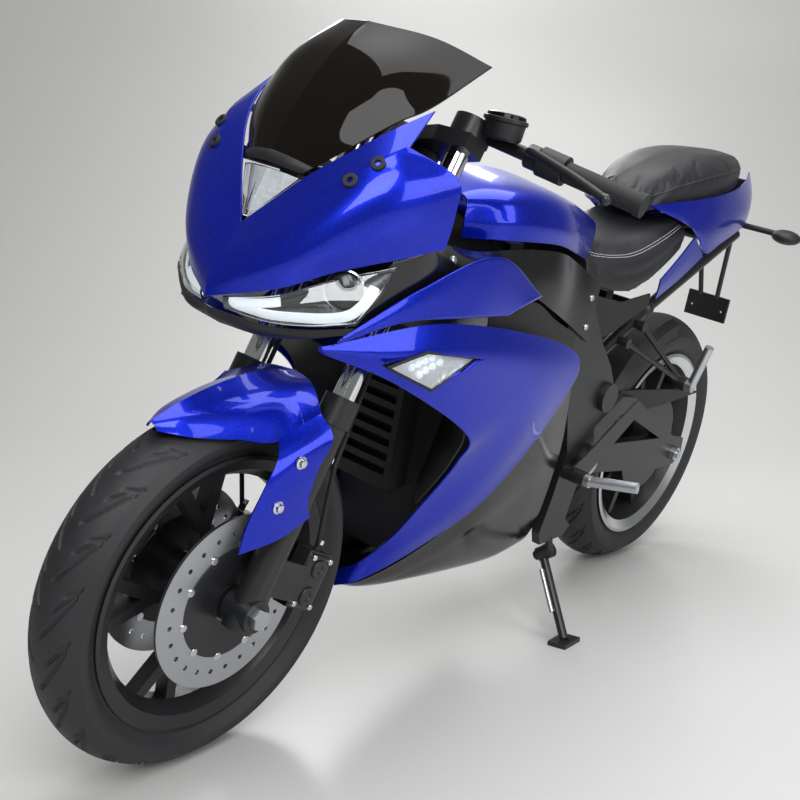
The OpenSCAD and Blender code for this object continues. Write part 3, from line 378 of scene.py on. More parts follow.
fender_polar = np.array([
    [[39.8, 322, 0], [50, 324, 0], [62, 331, 0], [75, 345, 0], [88, 360, 0]],
    [[39.6, 317, 7], [48, 312, 26], [62, 309, 44], [74, 317, 54], [86, 350, 52]],
    [[39.3, 310, 12], [46, 290, 43], [58, 273, 72], [70, 267, 92], [82.4, 315, 106]]], float)
fender_angle = np.radians(fender_polar[..., 0])
fender_net = np.stack([fender_polar[..., 1] * np.cos(fender_angle), fender_polar[..., 2],
                       fender_polar[..., 1] * np.sin(fender_angle)], -1)
blade_net = [
    [[43, 104, 314], [24, 130, 288], [26, 131, 236], [15, 131, 188], [-5, 131, 167]],
    [[66, 97, 285], [64, 122, 256], [66, 127, 206], [62, 128, 155], [40, 129, 121]],
    [[90, 90, 255], [97, 111, 226], [107, 120, 175], [110, 122, 124], [100, 122, 83]]]
blade = skin(blade_net, 41, 17)[::-1]
piece("fender_shell", [spine(skin(fender_net, 61, 31))[::-1], *both([blade])], blue_paint, "steering",
      ["front_fender"], wall=0.003, edge=0.0012, place=at_axle)

# Windscreen: a blown sheet of smoked acrylic, 4 mm thick, with a flip along its top edge. It is held
# at its lower corners by the stay and tucks behind the clear lens at its foot.
smoked, smoke_tree, smoke_shader = finish(
    "smoked_acrylic", "#14100e", roughness=0.03, ior=1.49, transmission_weight=0.3, specular_ior_level=0.06)


def worn(tree, shader, scale, low, high, **more):
    """Uneven polish: noise in object coordinates, scale per metre, moves the roughness from low to high."""
    place = add(tree, "ShaderNodeTexCoord")
    noise = add(tree, "ShaderNodeTexNoise", {"Vector": place.outputs["Object"], "Scale": scale, **more})
    spread = add(tree, "ShaderNodeMapRange", {"Value": noise.outputs["Fac"], "To Min": low, "To Max": high})
    tree.links.new(spread.outputs[0], shader.inputs["Roughness"])


HAZE_MM = 71.43
worn(smoke_tree, smoke_shader, PER_METRE / HAZE_MM, 0.02, 0.07, Detail=3.0)
screen_net = [
    [[1354, 0, 948], [1318, 0, 1014], [1280, 0, 1068], [1240, 0, 1110], [1188, 0, 1150]],
    [[1349, 32, 945], [1308, 62, 1008], [1266, 80, 1058], [1222, 92, 1098], [1146, 94, 1143]],
    [[1336, 57, 940], [1293, 104, 989], [1247, 133, 1027], [1199, 153, 1055], [1086, 158, 1118]]]
screen_grid = spine(skin(screen_net, 61, 31))[::-1]
piece("screen_sheet", [screen_grid], smoked, "frame", ["windscreen"], wall=0.004, edge=0.0012)

# Lamp lenses: clear polycarbonate, hard coated. The nose lens closes the V under the screen, the
# headlamp lenses sit over dark housings.
clear, clear_tree, clear_shader = finish(
    "clear_polycarbonate", "#eef2f4", roughness=0.02, ior=1.58, transmission_weight=1.0)
RIPPLE_MM = 16.667
bumped(clear_tree, clear_shader, "ShaderNodeTexNoise", PER_METRE / RIPPLE_MM, 0.04, 0.001)
lens_net = [
    [[1384, 0, 868], [1373, 0, 902], [1359, 0, 938]],
    [[1384, 2, 868], [1369, 15, 901], [1352, 30, 936]],
    [[1383, 4, 868], [1363, 30, 899], [1340, 55, 931]]]
lens_grid = spine(skin(lens_net, 31, 13))[::-1]
piece("nose_lens_sheet", [lens_grid], clear, "frame", ["nose_lens"], wall=0.0025)
lamp_net = [
    [[1420, 22, 744], [1394, 84, 740], [1364, 134, 746], [1328, 182, 760]],
    [[1424, 22, 753], [1398, 90, 762], [1356, 144, 780], [1300, 192, 800]],
    [[1424, 22, 760], [1389, 88, 779], [1337, 140, 811], [1262, 186, 838]]]
lamp = skin(lamp_net, 61, 25)
piece("headlamp_lens_pair", both([lamp]), clear, "frame", ["headlamp_lenses"], wall=0.002)


def normals(grid):
    """Unit vectors square to a grid: the cross product of its steps along the columns and along the rows."""
    n = np.cross(np.gradient(grid, axis=1), np.gradient(grid, axis=0))
    return n / np.linalg.norm(n, axis=-1, keepdims=True)


def sample(grid, u, v):
    """Points at share u of the columns and v of the rows, mixed from their four neighbours."""
    rows, cols = grid.shape[:2]
    x, y = np.clip(u, 0, 1) * (cols - 1), np.clip(v, 0, 1) * (rows - 1)
    i, j = np.minimum(x.astype(int), cols - 2), np.minimum(y.astype(int), rows - 2)
    f, g = (x - i)[:, None], (y - j)[:, None]
    low = grid[j, i] * (1 - f) + grid[j, i + 1] * f
    return low * (1 - g) + (grid[j + 1, i] * (1 - f) + grid[j + 1, i + 1] * f) * g


def swept(path, side, half_w, half_h, around=12):
    """An oval carried along a path, closed at both ends: half_w lies along side, half_h square to side and
    path."""
    along = np.gradient(path, axis=0)
    up = np.cross(along, side)
    up /= np.linalg.norm(up, axis=-1, keepdims=True)
    a = np.linspace(0, 2 * np.pi, around + 1)[None, :, None]
    tube = path[:, None] + side[:, None] * half_w * np.cos(a) + up[:, None] * half_h * np.sin(a)
    ends = [np.repeat(path[k][None, None], around + 1, 1) for k in (0, -1)]
    return np.concatenate([ends[0], tube, ends[1]])


def turned(profile, at, axis, steps=40):
    """A profile of (distance along the axis, radius) points turned once about the axis through a point."""
    axis = np.asarray(axis, float) / np.linalg.norm(axis)
    one = np.cross(axis, [0.31, 0.17, 0.93])
    one /= np.linalg.norm(one)
    a = np.linspace(0, 2 * np.pi, steps + 1)[:, None, None]
    p = np.asarray(profile, float)
    spoke = one * np.cos(a) + np.cross(axis, one) * np.sin(a)
    return np.asarray(at, float) + axis * p[:, :1] + p[:, 1:] * spoke


# Headlamp insides: a dark bowl behind each lens, a white light guide along its rim and a projector with a
# bright bezel. The black mask below them closes the nose.
bowl_black, bowl_tree, bowl_shader = finish("lamp_bowl_plastic", "#2b2d31", roughness=0.22, ior=1.53)
# The wave texture draws a band every pi / 10 units.
FLUTE_MM, BAND = 5.236, np.pi / 10
bumped(bowl_tree, bowl_shader, "ShaderNodeTexWave", PER_METRE / FLUTE_MM * BAND, 0.15, 0.001)
RIM_GAP, BOWL_DEPTH, GUIDE_SINK = 3.5, 25.0, 9.0
facing = normals(lamp)
u_share, v_share = np.meshgrid(np.linspace(0, np.pi, 61), np.linspace(0, np.pi, 25))
hollow = np.maximum(np.sin(u_share) * np.sin(v_share), 0) ** 0.3
bowl = lamp - facing * (RIM_GAP + BOWL_DEPTH * hollow)[..., None]
piece("headlamp_bowls", both([bowl]), bowl_black, "frame", ["headlamp_housings"], wall=0.002)
guide_white, guide_tree, guide_shader = finish(
    "light_guide_acrylic", "#f4f6f8", roughness=0.25, emission_color=linear("#f4f8ff"),
    emission_strength=0.55)
FROST_MM = 2.5
worn(guide_tree, guide_shader, PER_METRE / FROST_MM, 0.18, 0.34)
guide_uv = curve([[0.36, 0.84], [0.16, 0.80], [0.06, 0.52], [0.12, 0.18], [0.50, 0.15], [0.86, 0.15],
                  [0.94, 0.36], [0.93, 0.74]], np.linspace(0, 1, 121))
guide_out = sample(facing, guide_uv[:, 0], guide_uv[:, 1])
guide_path = sample(lamp, guide_uv[:, 0], guide_uv[:, 1]) - guide_out * GUIDE_SINK
guide_side = np.cross(np.gradient(guide_path, axis=0), guide_out)
guide_side /= np.linalg.norm(guide_side, axis=-1, keepdims=True)
guide = swept(guide_path, guide_side, half_w=7.5, half_h=3.0)
piece("light_guides", both([guide]), guide_white, "frame", closed=True)
bright, bright_tree, bright_shader = finish("machined_alloy", "#d4d6d9", metallic=1.0, roughness=0.2)
# Cutter marks are about 0.2 mm apart: they are drawn coarser, so that they show.
CUTTER_MM = 1.4286
worn(bright_tree, bright_shader, PER_METRE / CUTTER_MM, 0.14, 0.3, Detail=2.0)
PROJECTOR, PROJECTOR_DIR = [1318, 146, 798], [0.80, 0.58, 0.05]
bezel = turned([(-16, 26), (2, 29), (6, 29), (7, 27), (4, 25), (-16, 24), (-16, 26)], PROJECTOR,
               PROJECTOR_DIR)
dome = turned([(0, 0), (0, 25), (6, 23), (12, 15), (15, 6), (15.6, 0)], PROJECTOR, PROJECTOR_DIR)
piece("projector_bezels", both([bezel]), bright, "frame", closed=True)
piece("projector_lenses", both([dome]), bowl_black, "frame", closed=True)
mask_net = [
    [[1404, 0, 716], [1382, 62, 713], [1358, 118, 722], [1334, 164, 739]],
    [[1424, 0, 728], [1402, 70, 724], [1366, 128, 729], [1334, 176, 744]],
    [[1430, 0, 740], [1396, 82, 735], [1366, 133, 740], [1330, 182, 754]]]
piece("mask_shell", [nose(skin(mask_net, 41, 13))], grained, "frame", ["nose_mask"],
      wall=SKIN, edge=0.001)

# Lower and inner panels: the black belly pan, the dark lips that turn in behind the fairing's open
# edge, the covers below the tank. Black and dark grey ABS, glossy outside and grained inside.
black_abs, black_tree, black_shader = finish("gloss_black_abs", "#0d0e10", roughness=0.16, ior=1.53)
WAVE_MM = 9.0
bumped(black_tree, black_shader, "ShaderNodeTexNoise", PER_METRE / WAVE_MM, 0.05, 0.0005, Detail=2.0)
inner_net = [
    [[1208, 180, 670], [1040, 195, 572], [1018, 174, 496], [1032, 132, 408]],
    [[1184, 168, 662], [1008, 160, 570], [1000, 140, 490], [1012, 110, 412]],
    [[1156, 160, 658], [960, 100, 566], [965, 96, 486], [980, 90, 418]]]
inner = skin(inner_net, 51, 21)[::-1]
piece("inner_lips", both([inner]), grained, "frame", ["inner_fairings"], wall=SKIN, edge=0.001)
belly_net = [
    [[1050, 0, 204], [1000, 0, 196], [930, 0, 190], [820, 0, 186], [690, 0, 186], [592, 0, 200]],
    [[1052, 6, 206], [1006, 36, 202], [935, 62, 204], [820, 90, 208], [690, 103, 208], [600, 110, 224]],
    [[1055, 12, 208], [1024, 50, 214], [950, 88, 240], [852, 142, 314], [728, 166, 396], [640, 166, 424]],
    [[1058, 16, 210], [1040, 58, 232], [968, 108, 292], [876, 162, 392], [784, 190, 522], [690, 188, 584]]]
piece("belly_shell", [spine(skin(belly_net, 61, 41))], black_abs, "frame", ["belly_pan"],
      wall=SKIN, edge=0.001)
cover_net = [
    [[1000, 184, 690], [860, 188, 650], [740, 180, 600], [650, 160, 560]],
    [[1000, 184, 722], [870, 186, 706], [750, 174, 660], [650, 154, 618]],
    [[1000, 182, 752], [880, 184, 760], [770, 170, 716], [650, 150, 672]]]
cover = skin(cover_net, 41, 17)
piece("side_cover_pair", both([cover]), grained, "frame", ["side_covers"], wall=SKIN, edge=0.001)
spar_net = [
    [[1318, 156, 744], [1215, 176, 774], [1120, 184, 792], [1010, 182, 800], [900, 178, 778], [790, 170, 735],
        [690, 152, 696], [592, 148, 650]],
    [[1290, 165, 792], [1195, 184, 818], [1125, 182, 826], [1010, 168, 826], [900, 170, 812], [785, 168, 790],
        [685, 148, 756], [590, 146, 716]],
    [[1262, 176, 840], [1194, 190, 858], [1140, 174, 862], [1010, 142, 840], [900, 152, 842], [780, 158, 833],
        [680, 138, 806], [588, 146, 760]]]
spar = skin(spar_net, 71, 21)
piece("spar_cover_pair", both([spar]), black_abs, "frame", ["spar_covers"],
      wall=SKIN, edge=0.001)

# Tyres: black road rubber, vulcanised in a polished mould, with curved drainage grooves that sweep
# from near the crown's middle to the shoulders and leave the edges slick.
rubber, rubber_tree, rubber_shader = finish("tyre_rubber", "#18191b", roughness=0.6, ior=1.52)
DUST_MM, rubber_place = 35.0, add(rubber_tree, "ShaderNodeTexCoord")
dust = add(rubber_tree, "ShaderNodeTexNoise",
           {"Vector": rubber_place.outputs["Object"], "Scale": PER_METRE / DUST_MM, "Detail": 6.0})
dust_tone = add(rubber_tree, "ShaderNodeValToRGB", {"Fac": dust.outputs["Fac"]})
dust_tone.color_ramp.elements[0].color = linear("#141517")
dust_tone.color_ramp.elements[1].color = linear("#26272a")
rubber_tree.links.new(dust_tone.outputs["Color"], rubber_shader.inputs["Base Color"])
dust_rough = add(rubber_tree, "ShaderNodeMapRange",
                 {"Value": dust.outputs["Fac"], "To Min": 0.48, "To Max": 0.74})
rubber_tree.links.new(dust_rough.outputs[0], rubber_shader.inputs["Roughness"])
BEAD_R, FLANGE_R = 216.0, 226.0
GROOVE_DEPTH, GROOVE_HALF, GROOVE_FLANK, TURNS = 4.0, 3.4, 1.4, 1152
CROWN_SHARE, SWEEP = 0.86, 1.4
GROOVES = ((0.0, 0.06, 0.88, 1.15), (0.42, 0.30, 0.95, 0.75), (0.7, 0.5, 0.8, 0.4))


def tyre(outer_r, half_w, crown_r, rim_w, repeats):
    """A tyre section turned about the axle. Along the crown the radius drops where the distance from a
    groove's curve, measured square to it, is under the groove's half width."""
    reach = np.arcsin(half_w / crown_r * CROWN_SHARE)
    arc = np.linspace(-reach, reach, 55)
    crown = np.stack([outer_r - crown_r + crown_r * np.cos(arc), crown_r * np.sin(arc)], -1)
    edge = outer_r - crown_r + crown_r * np.cos(reach)
    wall = np.array([[BEAD_R, rim_w - 5], [FLANGE_R + 5, rim_w - 4], [FLANGE_R + 9, rim_w - 1],
                     [FLANGE_R + 12, rim_w + 1.5], [FLANGE_R + 20, half_w * 0.96],
                     [(FLANGE_R + edge) / 2 + 4, half_w], [edge - 9, half_w * 0.995]])
    section = np.concatenate([wall * [1, -1], crown, wall[::-1]])
    across = np.concatenate([np.full(len(wall), -9e3), arc * crown_r, np.full(len(wall), 9e3)])
    spin = np.linspace(0, 2 * np.pi, TURNS + 1)
    pitch = 2 * np.pi / repeats
    drop = np.zeros((len(spin), len(section)))
    half_s = reach * crown_r
    for shift, inner, outer, lean_by in GROOVES:
        s = np.abs(across)[None, :] / half_s
        middle = pitch * (shift + 0.5 * (across[None, :] > 0) + lean_by * s ** SWEEP)
        slope = outer_r * pitch * lean_by * SWEEP * np.maximum(s, 0.02) ** 0.4 / half_s
        off = (spin[:, None] - middle + pitch / 2) % pitch - pitch / 2
        away = np.abs(off) * outer_r / np.sqrt(1 + slope ** 2)
        along = np.clip(np.minimum(s - inner, outer - s) * half_s / 4, 0, 1)
        cut = np.clip((GROOVE_HALF - away) / GROOVE_FLANK, 0, 1) * along
        drop = np.maximum(drop, cut * GROOVE_DEPTH)
    r = section[None, :, 0] - drop
    y = np.broadcast_to(section[None, :, 1], r.shape)
    return np.stack([r * np.cos(spin)[:, None], y, r * np.sin(spin)[:, None]], -1)


REAR_AXLE = np.array([0.085, 0.0, 308.335])
front_tread = tyre(outer_r=293.0, half_w=55.0, crown_r=60.0, rim_w=42.0, repeats=22)
rear_tread = tyre(outer_r=308.0, half_w=70.0, crown_r=75.0, rim_w=62.0, repeats=24) + REAR_AXLE
piece("front_tyre_tread", [front_tread], rubber, "front_wheel", ["front_tyre"], place=at_axle)
piece("rear_tyre_tread", [rear_tread], rubber, "rear_wheel", ["rear_tyre"])

# Bare metal and rubber: hard chromed fork tubes, ground brake discs and axles, cast pegs and shock, and the
# moulded rubber of the grips and brake hoses.
chrome, chrome_tree, chrome_shader = finish("hard_chrome", "#d9dbde", metallic=1.0, roughness=0.08)
POLISH_MM = 3.125
worn(chrome_tree, chrome_shader, PER_METRE / POLISH_MM, 0.05, 0.14)
paint_nodes(chrome, "fork_tubes")
steel, steel_tree, steel_shader = finish("ground_steel", "#b9bbbe", metallic=1.0, roughness=0.3)
# Grinding marks are finer than this: they are drawn coarser, so that they show.
GRIND_MM = 1.1111
worn(steel_tree, steel_shader, PER_METRE / GRIND_MM, 0.22, 0.42, Detail=3.0)
paint_nodes(steel, "front_discs", "rear_disc", "stand_spring", "front_axle", "rear_spindles")
alloy, alloy_tree, alloy_shader = finish("cast_alloy", "#c3c5c8", metallic=1.0, roughness=0.36)
CAST_MM = 1.5
bumped(alloy_tree, alloy_shader, "ShaderNodeTexNoise", PER_METRE / CAST_MM, 0.2, 0.0004, Detail=2.0)
paint_nodes(alloy, "foot_pegs", "rear_shock")

soft_rubber, soft_tree, soft_shader = finish("moulded_grip_rubber", "#161719", roughness=0.7, ior=1.52)
RIB_MM = 3.0
bumped(soft_tree, soft_shader, "ShaderNodeTexVoronoi", PER_METRE / RIB_MM, 0.4, 0.0008, "Distance")
paint_nodes(soft_rubber, "grips", "brake_hoses")

# Front indicators: a bright faceted reflector with eight lamps under a clear cover, set in a black seal in
# the fairing's window.
COVER_OUT, REFLECTOR_IN = 5.0, 9.0
share = np.linspace(0, 1, 25)
across_u, down_v = np.meshgrid(share, share)
lower_line = INDICATOR[3] * (1 - across_u)[..., None] + INDICATOR[2] * across_u[..., None]
upper_line = INDICATOR[0] * (1 - across_u)[..., None] + INDICATOR[1] * across_u[..., None]
flat_cover = lower_line * (1 - down_v)[..., None] + upper_line * down_v[..., None]
swell = (np.sin(np.pi * across_u) * np.sin(np.pi * down_v))[..., None] ** 0.5
cover_lens = flat_cover + [0, 1, 0] * (1 + COVER_OUT * swell)
reflector = flat_cover - [0, 1, 0] * (1 + REFLECTOR_IN * swell)
piece("indicator_covers", both([cover_lens]), clear, "frame", ["front_indicators"], wall=0.002)
metallised, metal_tree, metal_shader = finish("metallised_reflector", "#f2f4f6", metallic=0.35, roughness=0.3)
FACET_MM = 9.0909
bumped(metal_tree, metal_shader, "ShaderNodeTexVoronoi", PER_METRE / FACET_MM, 0.5, 0.002, "Distance")
piece("indicator_reflectors", both([reflector]), metallised, "frame", wall=0.001)
bulbs = []
for v_at, us in ((0.42, (0.2, 0.36, 0.52, 0.68)), (0.68, (0.3, 0.46, 0.62, 0.78))):
    for u_at in us:
        seat_at = sample(reflector, np.array([u_at]), np.array([v_at]))[0]
        bulbs.append(turned([(0, 0), (0, 6), (3, 5.4), (5.4, 3), (6, 0)], seat_at, [0.2, 1, 0.1], 20))
piece("indicator_lamps", both(bulbs), guide_white, "frame", closed=True)
edge_share = np.linspace(0, 1, 12)[:, None]
loop = np.concatenate([INDICATOR[k] + (INDICATOR[(k + 1) % 4] - INDICATOR[k]) * edge_share for k in range(4)])
seal = swept(loop, np.tile([0.0, 1.0, 0.0], (len(loop), 1)), half_w=2.6, half_h=2.4)
piece("indicator_seals", both([seal]), soft_rubber, "frame", closed=True)

# Nose details: a fluted reflector behind the lens in the V, black trim along the screen's foot, and the zinc
# plated screws of the covers below the tank.
piece("nose_reflector", [lens_grid - normals(lens_grid) * REFLECTOR_IN], metallised, "frame",
      wall=0.001)
foot_up = screen_grid[:, 3] - screen_grid[:, 0]
foot_up /= np.linalg.norm(foot_up, axis=-1, keepdims=True)
TRIM_HALF, TRIM_THICK = 9.0, 3.4
foot = swept(screen_grid[:, 0] + foot_up * TRIM_HALF * 0.6, foot_up, TRIM_HALF, TRIM_THICK)
piece("screen_foot_trim", [foot], grained, "frame", closed=True)
spar_out, pins = normals(spar), []
for u_at, v_at in ((0.30, 0.70), (0.965, 0.16), (0.965, 0.62)):
    spot_at, spot_out = (sample(g, np.array([u_at]), np.array([v_at]))[0] for g in (spar, spar_out))
    pins.append(turned([(-2, 0), (-2, 6.5), (1.6, 6.5), (3.0, 5.0), (3.0, 0)], spot_at, spot_out, 24))
piece("cover_screws", both(pins), bright, "frame", closed=True)

# Tail lamp: a red polycarbonate lens let into the tail. Moulded prisms on its inside throw the light back
# and make it sparkle.
red, red_tree, red_shader = finish(
    "red_polycarbonate", "#8c0c12", roughness=0.05, ior=1.58, transmission_weight=0.4)
PRISM_MM = 4.0
bumped(red_tree, red_shader, "ShaderNodeTexVoronoi", PER_METRE / PRISM_MM, 0.4, 0.001, "Distance")
paint_nodes(red, "tail_lamp")

# Brake disc carriers and rim lips: black centres that hold the ground discs on silver bobbins, and the
# bright machined lip that the rear rim shows.
DISC_Y, CARRIER_R, BOBBINS = 63.0, 91.0, 10
plate_ring = [(-4, 31), (-4, CARRIER_R - 1), (-3, CARRIER_R), (3, CARRIER_R), (4, CARRIER_R - 1), (4, 60),
              (3, 56), (3, 31), (-4, 31)]
carriers = [turned(plate_ring, [0, side * DISC_Y, 0], [0, side, 0], 72) for side in (1, -1)]
piece("disc_carriers", carriers, powder_coat, "front_wheel", place=at_axle, closed=True)
spin_of = 2 * np.pi * np.arange(BOBBINS) / BOBBINS
button = [(-4.6, 0), (-4.6, 6.5), (4.0, 6.5), (4.6, 5.6), (4.6, 0)]
bobbins = [turned(button, [CARRIER_R * np.cos(a), side * DISC_Y, CARRIER_R * np.sin(a)], [0, side, 0], 20)
           for side in (1, -1) for a in spin_of]
piece("disc_bobbins", bobbins, bright, "front_wheel", place=at_axle, closed=True)
lip = [(53.4, 200), (64.9, 219.6), (62.9, 226.8), (61, 224), (63, 219), (52.4, 202), (53.4, 200)]
lips = [turned(lip, REAR_AXLE, [0, side, 0], 144) for side in (1, -1)]
piece("rim_lips", lips, bright, "rear_wheel", closed=True)

# Fender screws: two zinc plated flange bolts hold each blade to the lugs of the fork leg, so they turn with
# the fork.
bolt = [(0, 0), (0, 10), (2.5, 10), (3.5, 6.6), (8, 6.2), (8.6, 5), (8.6, 0)]
screws = [turned(bolt, at, [0, 1, 0], 24) for at in ([65, 125.4, 237], [70, 125.2, 165])]
piece("fender_bolts", both(screws), bright, "steering", place=at_axle, closed=True)

# Front calipers: a cast crowned cover with two piston caps on each block, the screws that hold its halves,
# and the banjo bolt of the hose on top.
CALIPER_MID, CALIPER_HALF, CALIPER_FACE, CROWN = (-119.0, 68.0), (30.0, 46.0), 99.0, 7.0
share_x, share_z = np.meshgrid(np.linspace(1, -1, 25), np.linspace(-1, 1, 33))
crowned = CALIPER_FACE + 0.2 + CROWN * ((1 - share_x ** 4) * (1 - share_z ** 4)) ** 0.5
casting = np.stack([CALIPER_MID[0] + CALIPER_HALF[0] * share_x, crowned,
                    CALIPER_MID[1] + CALIPER_HALF[1] * share_z], -1)
piece("caliper_covers", both([casting]), powder_coat, "steering", place=at_axle)
piston_cap = [(0, 0), (0, 16), (9, 16), (10.5, 14.5), (10.5, 8), (9, 7), (9, 0)]
caps = [turned(piston_cap, [CALIPER_MID[0], CALIPER_FACE, z_at], [0, 1, 0], 32) for z_at in (45, 91)]
piece("piston_caps", both(caps), powder_coat, "steering", place=at_axle, closed=True)
holding = [turned([(0, 0), (0, 5), (8, 5), (9, 4), (9, 0)], [x_at, CALIPER_FACE, z_at], [0, 1, 0], 18)
           for x_at in (-141, -97) for z_at in (29, 107)]
holding.append(turned([(0, 0), (0, 7), (7, 7), (8, 6), (8, 0)], [-118, 87, 127], [0, 0, 1], 24))
piece("caliper_screws", both(holding), bright, "steering", place=at_axle, closed=True)

# Seats: moulded foam under a grained black cover. The rider's has a double row of pale stitches along each
# flank, the passenger's a piped edge; both are blown up tight by the cloth solver and stay flat below.
cover_black, cover_tree, cover_shader = finish("grained_seat_cover", "#1c1d20", roughness=0.5, ior=1.5)
PORE_MM = 1.4
bumped(cover_tree, cover_shader, "ShaderNodeTexVoronoi", PER_METRE / PORE_MM, 0.3, 0.0004, "Distance")
VOXEL, PRESSURE, STEPS, SHRINK = 0.005, 4.0, 20, np.array([0.985, 0.965, 0.94])
UNDERSIDE, SWELL, FILL = -0.7, 0.006, 0.9
rider_top = [
    [[540, 0, 838], [470, 0, 822], [390, 0, 826], [290, 0, 848], [196, 0, 874]],
    [[548, 60, 824], [470, 76, 812], [390, 82, 818], [290, 82, 842], [196, 76, 868]],
    [[556, 92, 786], [470, 116, 786], [390, 124, 790], [290, 126, 820], [196, 116, 852]],
    [[556, 98, 752], [470, 114, 734], [390, 120, 732], [290, 120, 768], [196, 112, 812]]]
rear_top = [
    [[352, 0, 920], [262, 0, 968], [140, 0, 996], [10, 0, 1004], [-110, 0, 1001], [-206, 0, 988]],
    [[340, 34, 914], [256, 58, 959], [140, 72, 987], [10, 68, 996], [-110, 48, 994], [-202, 20, 985]],
    [[322, 60, 903], [246, 88, 937], [140, 104, 963], [10, 96, 977], [-110, 68, 980], [-196, 32, 976]],
    [[314, 62, 889], [240, 90, 909], [140, 105, 925], [10, 97, 939], [-110, 68, 952], [-190, 32, 962]]]


def cushion(net, nu, nv, drop):
    """The crowned top of a seat, a flat base drop mm under the top's edge, and walls between the two, as a
    closed form a little smaller than the seat."""
    half = skin(net, nu, nv)
    top = spine(half)
    spread = np.ones((len(top), 1, 3))
    spread[:, 0, 1] = np.linspace(-1, 1, len(top))
    base = half[-1] * spread - [0, 0, drop]
    middle = (top.max((0, 1)) + base.min((0, 1))) / 2
    grids = [top, base, np.stack([top[-1], base[-1]]), np.stack([top[0], base[0]]),
             np.stack([top[:, 0], base[:, 0]]), np.stack([top[:, -1], base[:, -1]])]
    return [(g - middle) * SHRINK + middle for g in grids]


def stuffed(name, net, node, drop):
    """A seat pad: remeshed in voxels, then blown up as cloth with its underside held; no point moves further
    than the swell."""
    pad = piece(name, cushion(net, 61, 31, drop), cover_black, "frame", [node], closed=True)
    shell = pad.modifiers.new("voxels", "REMESH")
    shell.mode, shell.voxel_size = "VOXEL", VOXEL
    graph = bpy.context.evaluated_depsgraph_get()
    pad.data = bpy.data.meshes.new_from_object(pad.evaluated_get(graph))
    pad.modifiers.clear()
    count = len(pad.data.vertices)
    rest, facing_of = np.zeros(count * 3), np.zeros(count * 3)
    pad.data.vertices.foreach_get("co", rest)
    pad.data.vertices.foreach_get("normal", facing_of)
    held = pad.vertex_groups.new(name="base")
    held.add(np.flatnonzero(facing_of[2::3] < UNDERSIDE).tolist(), 1.0, "REPLACE")
    foam = pad.modifiers.new("foam", "CLOTH")
    foam.settings.use_pressure, foam.settings.uniform_pressure_force = True, PRESSURE
    foam.settings.effector_weights.gravity = 0.0
    foam.settings.vertex_group_mass = held.name
    for step in range(1, STEPS + 1):
        bpy.context.scene.frame_set(step)
    blown = np.zeros(count * 3)
    pad.evaluated_get(bpy.context.evaluated_depsgraph_get()).data.vertices.foreach_get("co", blown)
    move = (blown - rest).reshape(-1, 3)
    far = np.maximum(np.linalg.norm(move, axis=1, keepdims=True), 1e-9)
    rest = rest + (move * np.minimum(1, SWELL / far)).ravel()
    pad.modifiers.clear()
    pad.vertex_groups.clear()
    pad.data.vertices.foreach_set("co", rest)
    bpy.context.scene.frame_set(1)
    pad.data.shade_smooth()
    soft = pad.modifiers.new("soft", "SUBSURF")
    soft.levels = soft.render_levels = 1
    return pad


rider_pad = stuffed("rider_pad", rider_top, "rider_seat", drop=6.0)
rear_pad = stuffed("rear_pad", rear_top, "passenger_seat", drop=18.0)


def as_placed(p):
    """Points that are in the row frame already."""
    return np.asarray(p, float)


def laid_on(pad, points):
    """Points of the upright machine, parked and moved to the nearest spot of a pad's skin, with the skin's
    direction there."""
    tree = BVHTree.FromObject(pad, bpy.context.evaluated_depsgraph_get())
    hits = [tree.find_nearest(p) for p in parked(points).tolist()]
    return np.array([h[0] for h in hits]), np.array([h[1] for h in hits])


thread, thread_tree, thread_shader = finish("seat_thread", "#b9babd", roughness=0.7)
TWIST_MM = 1.1111
bumped(thread_tree, thread_shader, "ShaderNodeTexNoise", PER_METRE / TWIST_MM, 0.4, 0.0003)
STITCHES, STITCH_R, STITCH_LIFT, STITCH_ROWS = 46, 0.0007, 0.6, (0.47, 0.51)
PITCH_SPOTS, THREAD_SPOTS = 8, 6
rider_grid, stitches = skin(rider_top, 121, 61), []
along_seat = np.linspace(0.06, 0.97, STITCHES * PITCH_SPOTS + 1)
for row in STITCH_ROWS:
    for side in (1, -1):
        line = sample(rider_grid, along_seat, np.full(len(along_seat), row)) * [1, side, 1]
        spot, out = laid_on(rider_pad, line)
        for k in range(STITCHES):
            run_of = slice(PITCH_SPOTS * k, PITCH_SPOTS * k + THREAD_SPOTS)
            thread_at = spot[run_of] + out[run_of] * STITCH_R * STITCH_LIFT
            stitches.append(swept(thread_at, out[run_of], STITCH_R, STITCH_R, around=6))
piece("rider_stitches", stitches, thread, "frame", place=as_placed, closed=True)
PIPING_ROW, PIPING_R, PIPING_SPOTS = 0.72, 0.0022, 141
rear_edge = sample(skin(rear_top, 121, 61), np.linspace(0.02, 0.99, PIPING_SPOTS),
                   np.full(PIPING_SPOTS, PIPING_ROW))
piping_at, piping_out = laid_on(rear_pad, np.concatenate([rear_edge, (rear_edge * [1, -1, 1])[::-1]]))
piping = swept(piping_at, piping_out, PIPING_R, PIPING_R)
piece("rear_piping", [piping], cover_black, "frame", place=as_placed, closed=True)

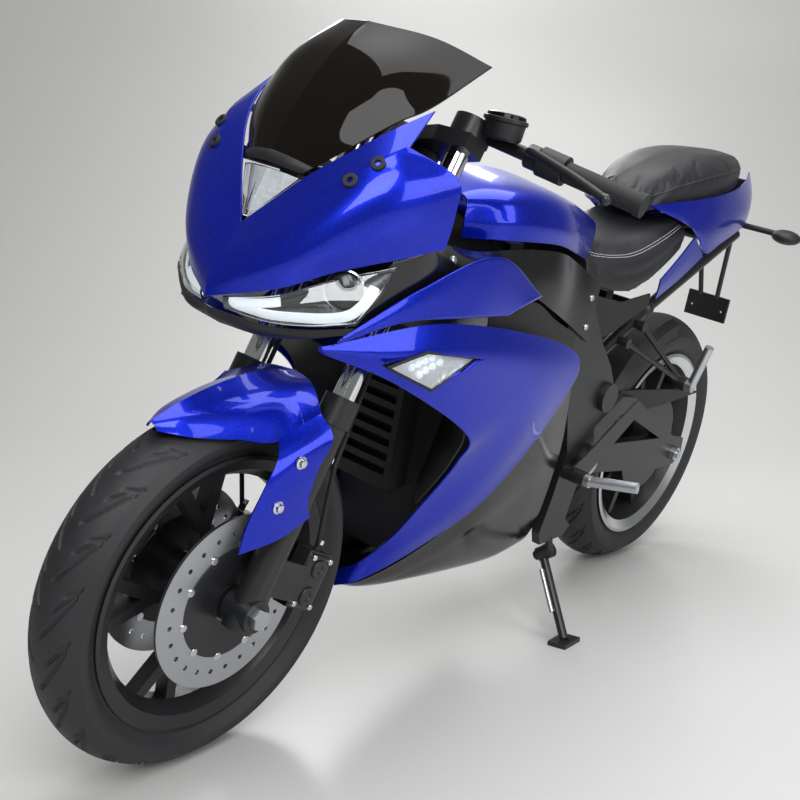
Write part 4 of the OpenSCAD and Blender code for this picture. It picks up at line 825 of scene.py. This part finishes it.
# Levers and brake reservoirs: forged blades with a ball end on a clamp beside each grip, and a round cup
# with a smoked lid inboard of it. They turn with the bars, so they are drawn in the steering frame.
BAR_ROOT, BAR_SLOPE = np.array([-3.0, 98.0, 125.0]), np.array([-0.222, 1.0, -0.092])
BAR_END_Y, GRIP_LENGTH, PERCH_GAP, BALL_R = 372.0, 128.0, 57.0, 8.6
CUP_IN, CUP_UP = -40.0, [0.36, 0, 1]
perch = BAR_ROOT + BAR_SLOPE * (BAR_END_Y - BAR_ROOT[1] - GRIP_LENGTH - PERCH_GAP)
clamp = turned([(-11, 11.3), (-11, 17), (-9, 19), (9, 19), (11, 17), (11, 11.3), (-11, 11.3)], perch,
               BAR_SLOPE)
lever_line = curve([perch + [14, 0, 2], perch + [36, 10, -4], [27, 236, 102], [28, 292, 87], [25, 338, 73],
                    [24, 356, 67]], np.linspace(0, 1, 61))
lever = swept(lever_line, np.tile([0.0, 0.0, 1.0], (len(lever_line), 1)), half_w=7.0, half_h=4.0)
round_end = [(BALL_R * np.cos(a), BALL_R * np.sin(a)) for a in np.linspace(np.pi, 0, 13)]
ball = turned(round_end, [24, 357, 66.5], [0, 1, 0], 24)
cup_at = perch + BAR_SLOPE * CUP_IN + [34, 0, 2]
cup = turned([(-6, 0), (-6, 26), (-2, 30), (20, 32), (22, 35), (27, 35), (28, 33), (28, 0)], cup_at, CUP_UP)
lid = turned([(28.2, 0), (28.2, 31), (33, 30), (35, 26), (35.6, 0)], cup_at, CUP_UP)
controls = [clamp, lever, ball, cup]
piece("lever_set", both(controls), powder_coat, "steering", ["levers"], place=steered,
      closed=True)
piece("reservoir_lids", both([lid]), smoked, "steering", place=steered, closed=True)

# Mirror feet: the mirrors are off, so two screw holes stay open on each side of the cowl, each with a black
# rubber collar round it.
BORE_R, SEAT_R, BOSS_HALF = 0.0042, 0.0105, 0.007
collar = [(-0.004, BORE_R), (-0.004, SEAT_R), (0.0022, SEAT_R), (0.003, SEAT_R - 0.001),
          (0.003, BORE_R + 0.0006), (0.002, BORE_R), (-0.004, BORE_R)]
collars = []
for mount in frame["record"]["mounts"]:
    if mount["name"].startswith("mirror_hole"):
        axis = np.array(mount["axis"])
        collars.append(turned(collar, np.array(mount["pos_m"]) + axis * BOSS_HALF, axis, 32))
piece("mirror_collars", collars, soft_rubber, "frame", place=as_placed, closed=True)

size = {"cad": [list(c) for c in cad_box], "visual": [list(c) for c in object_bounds()]}
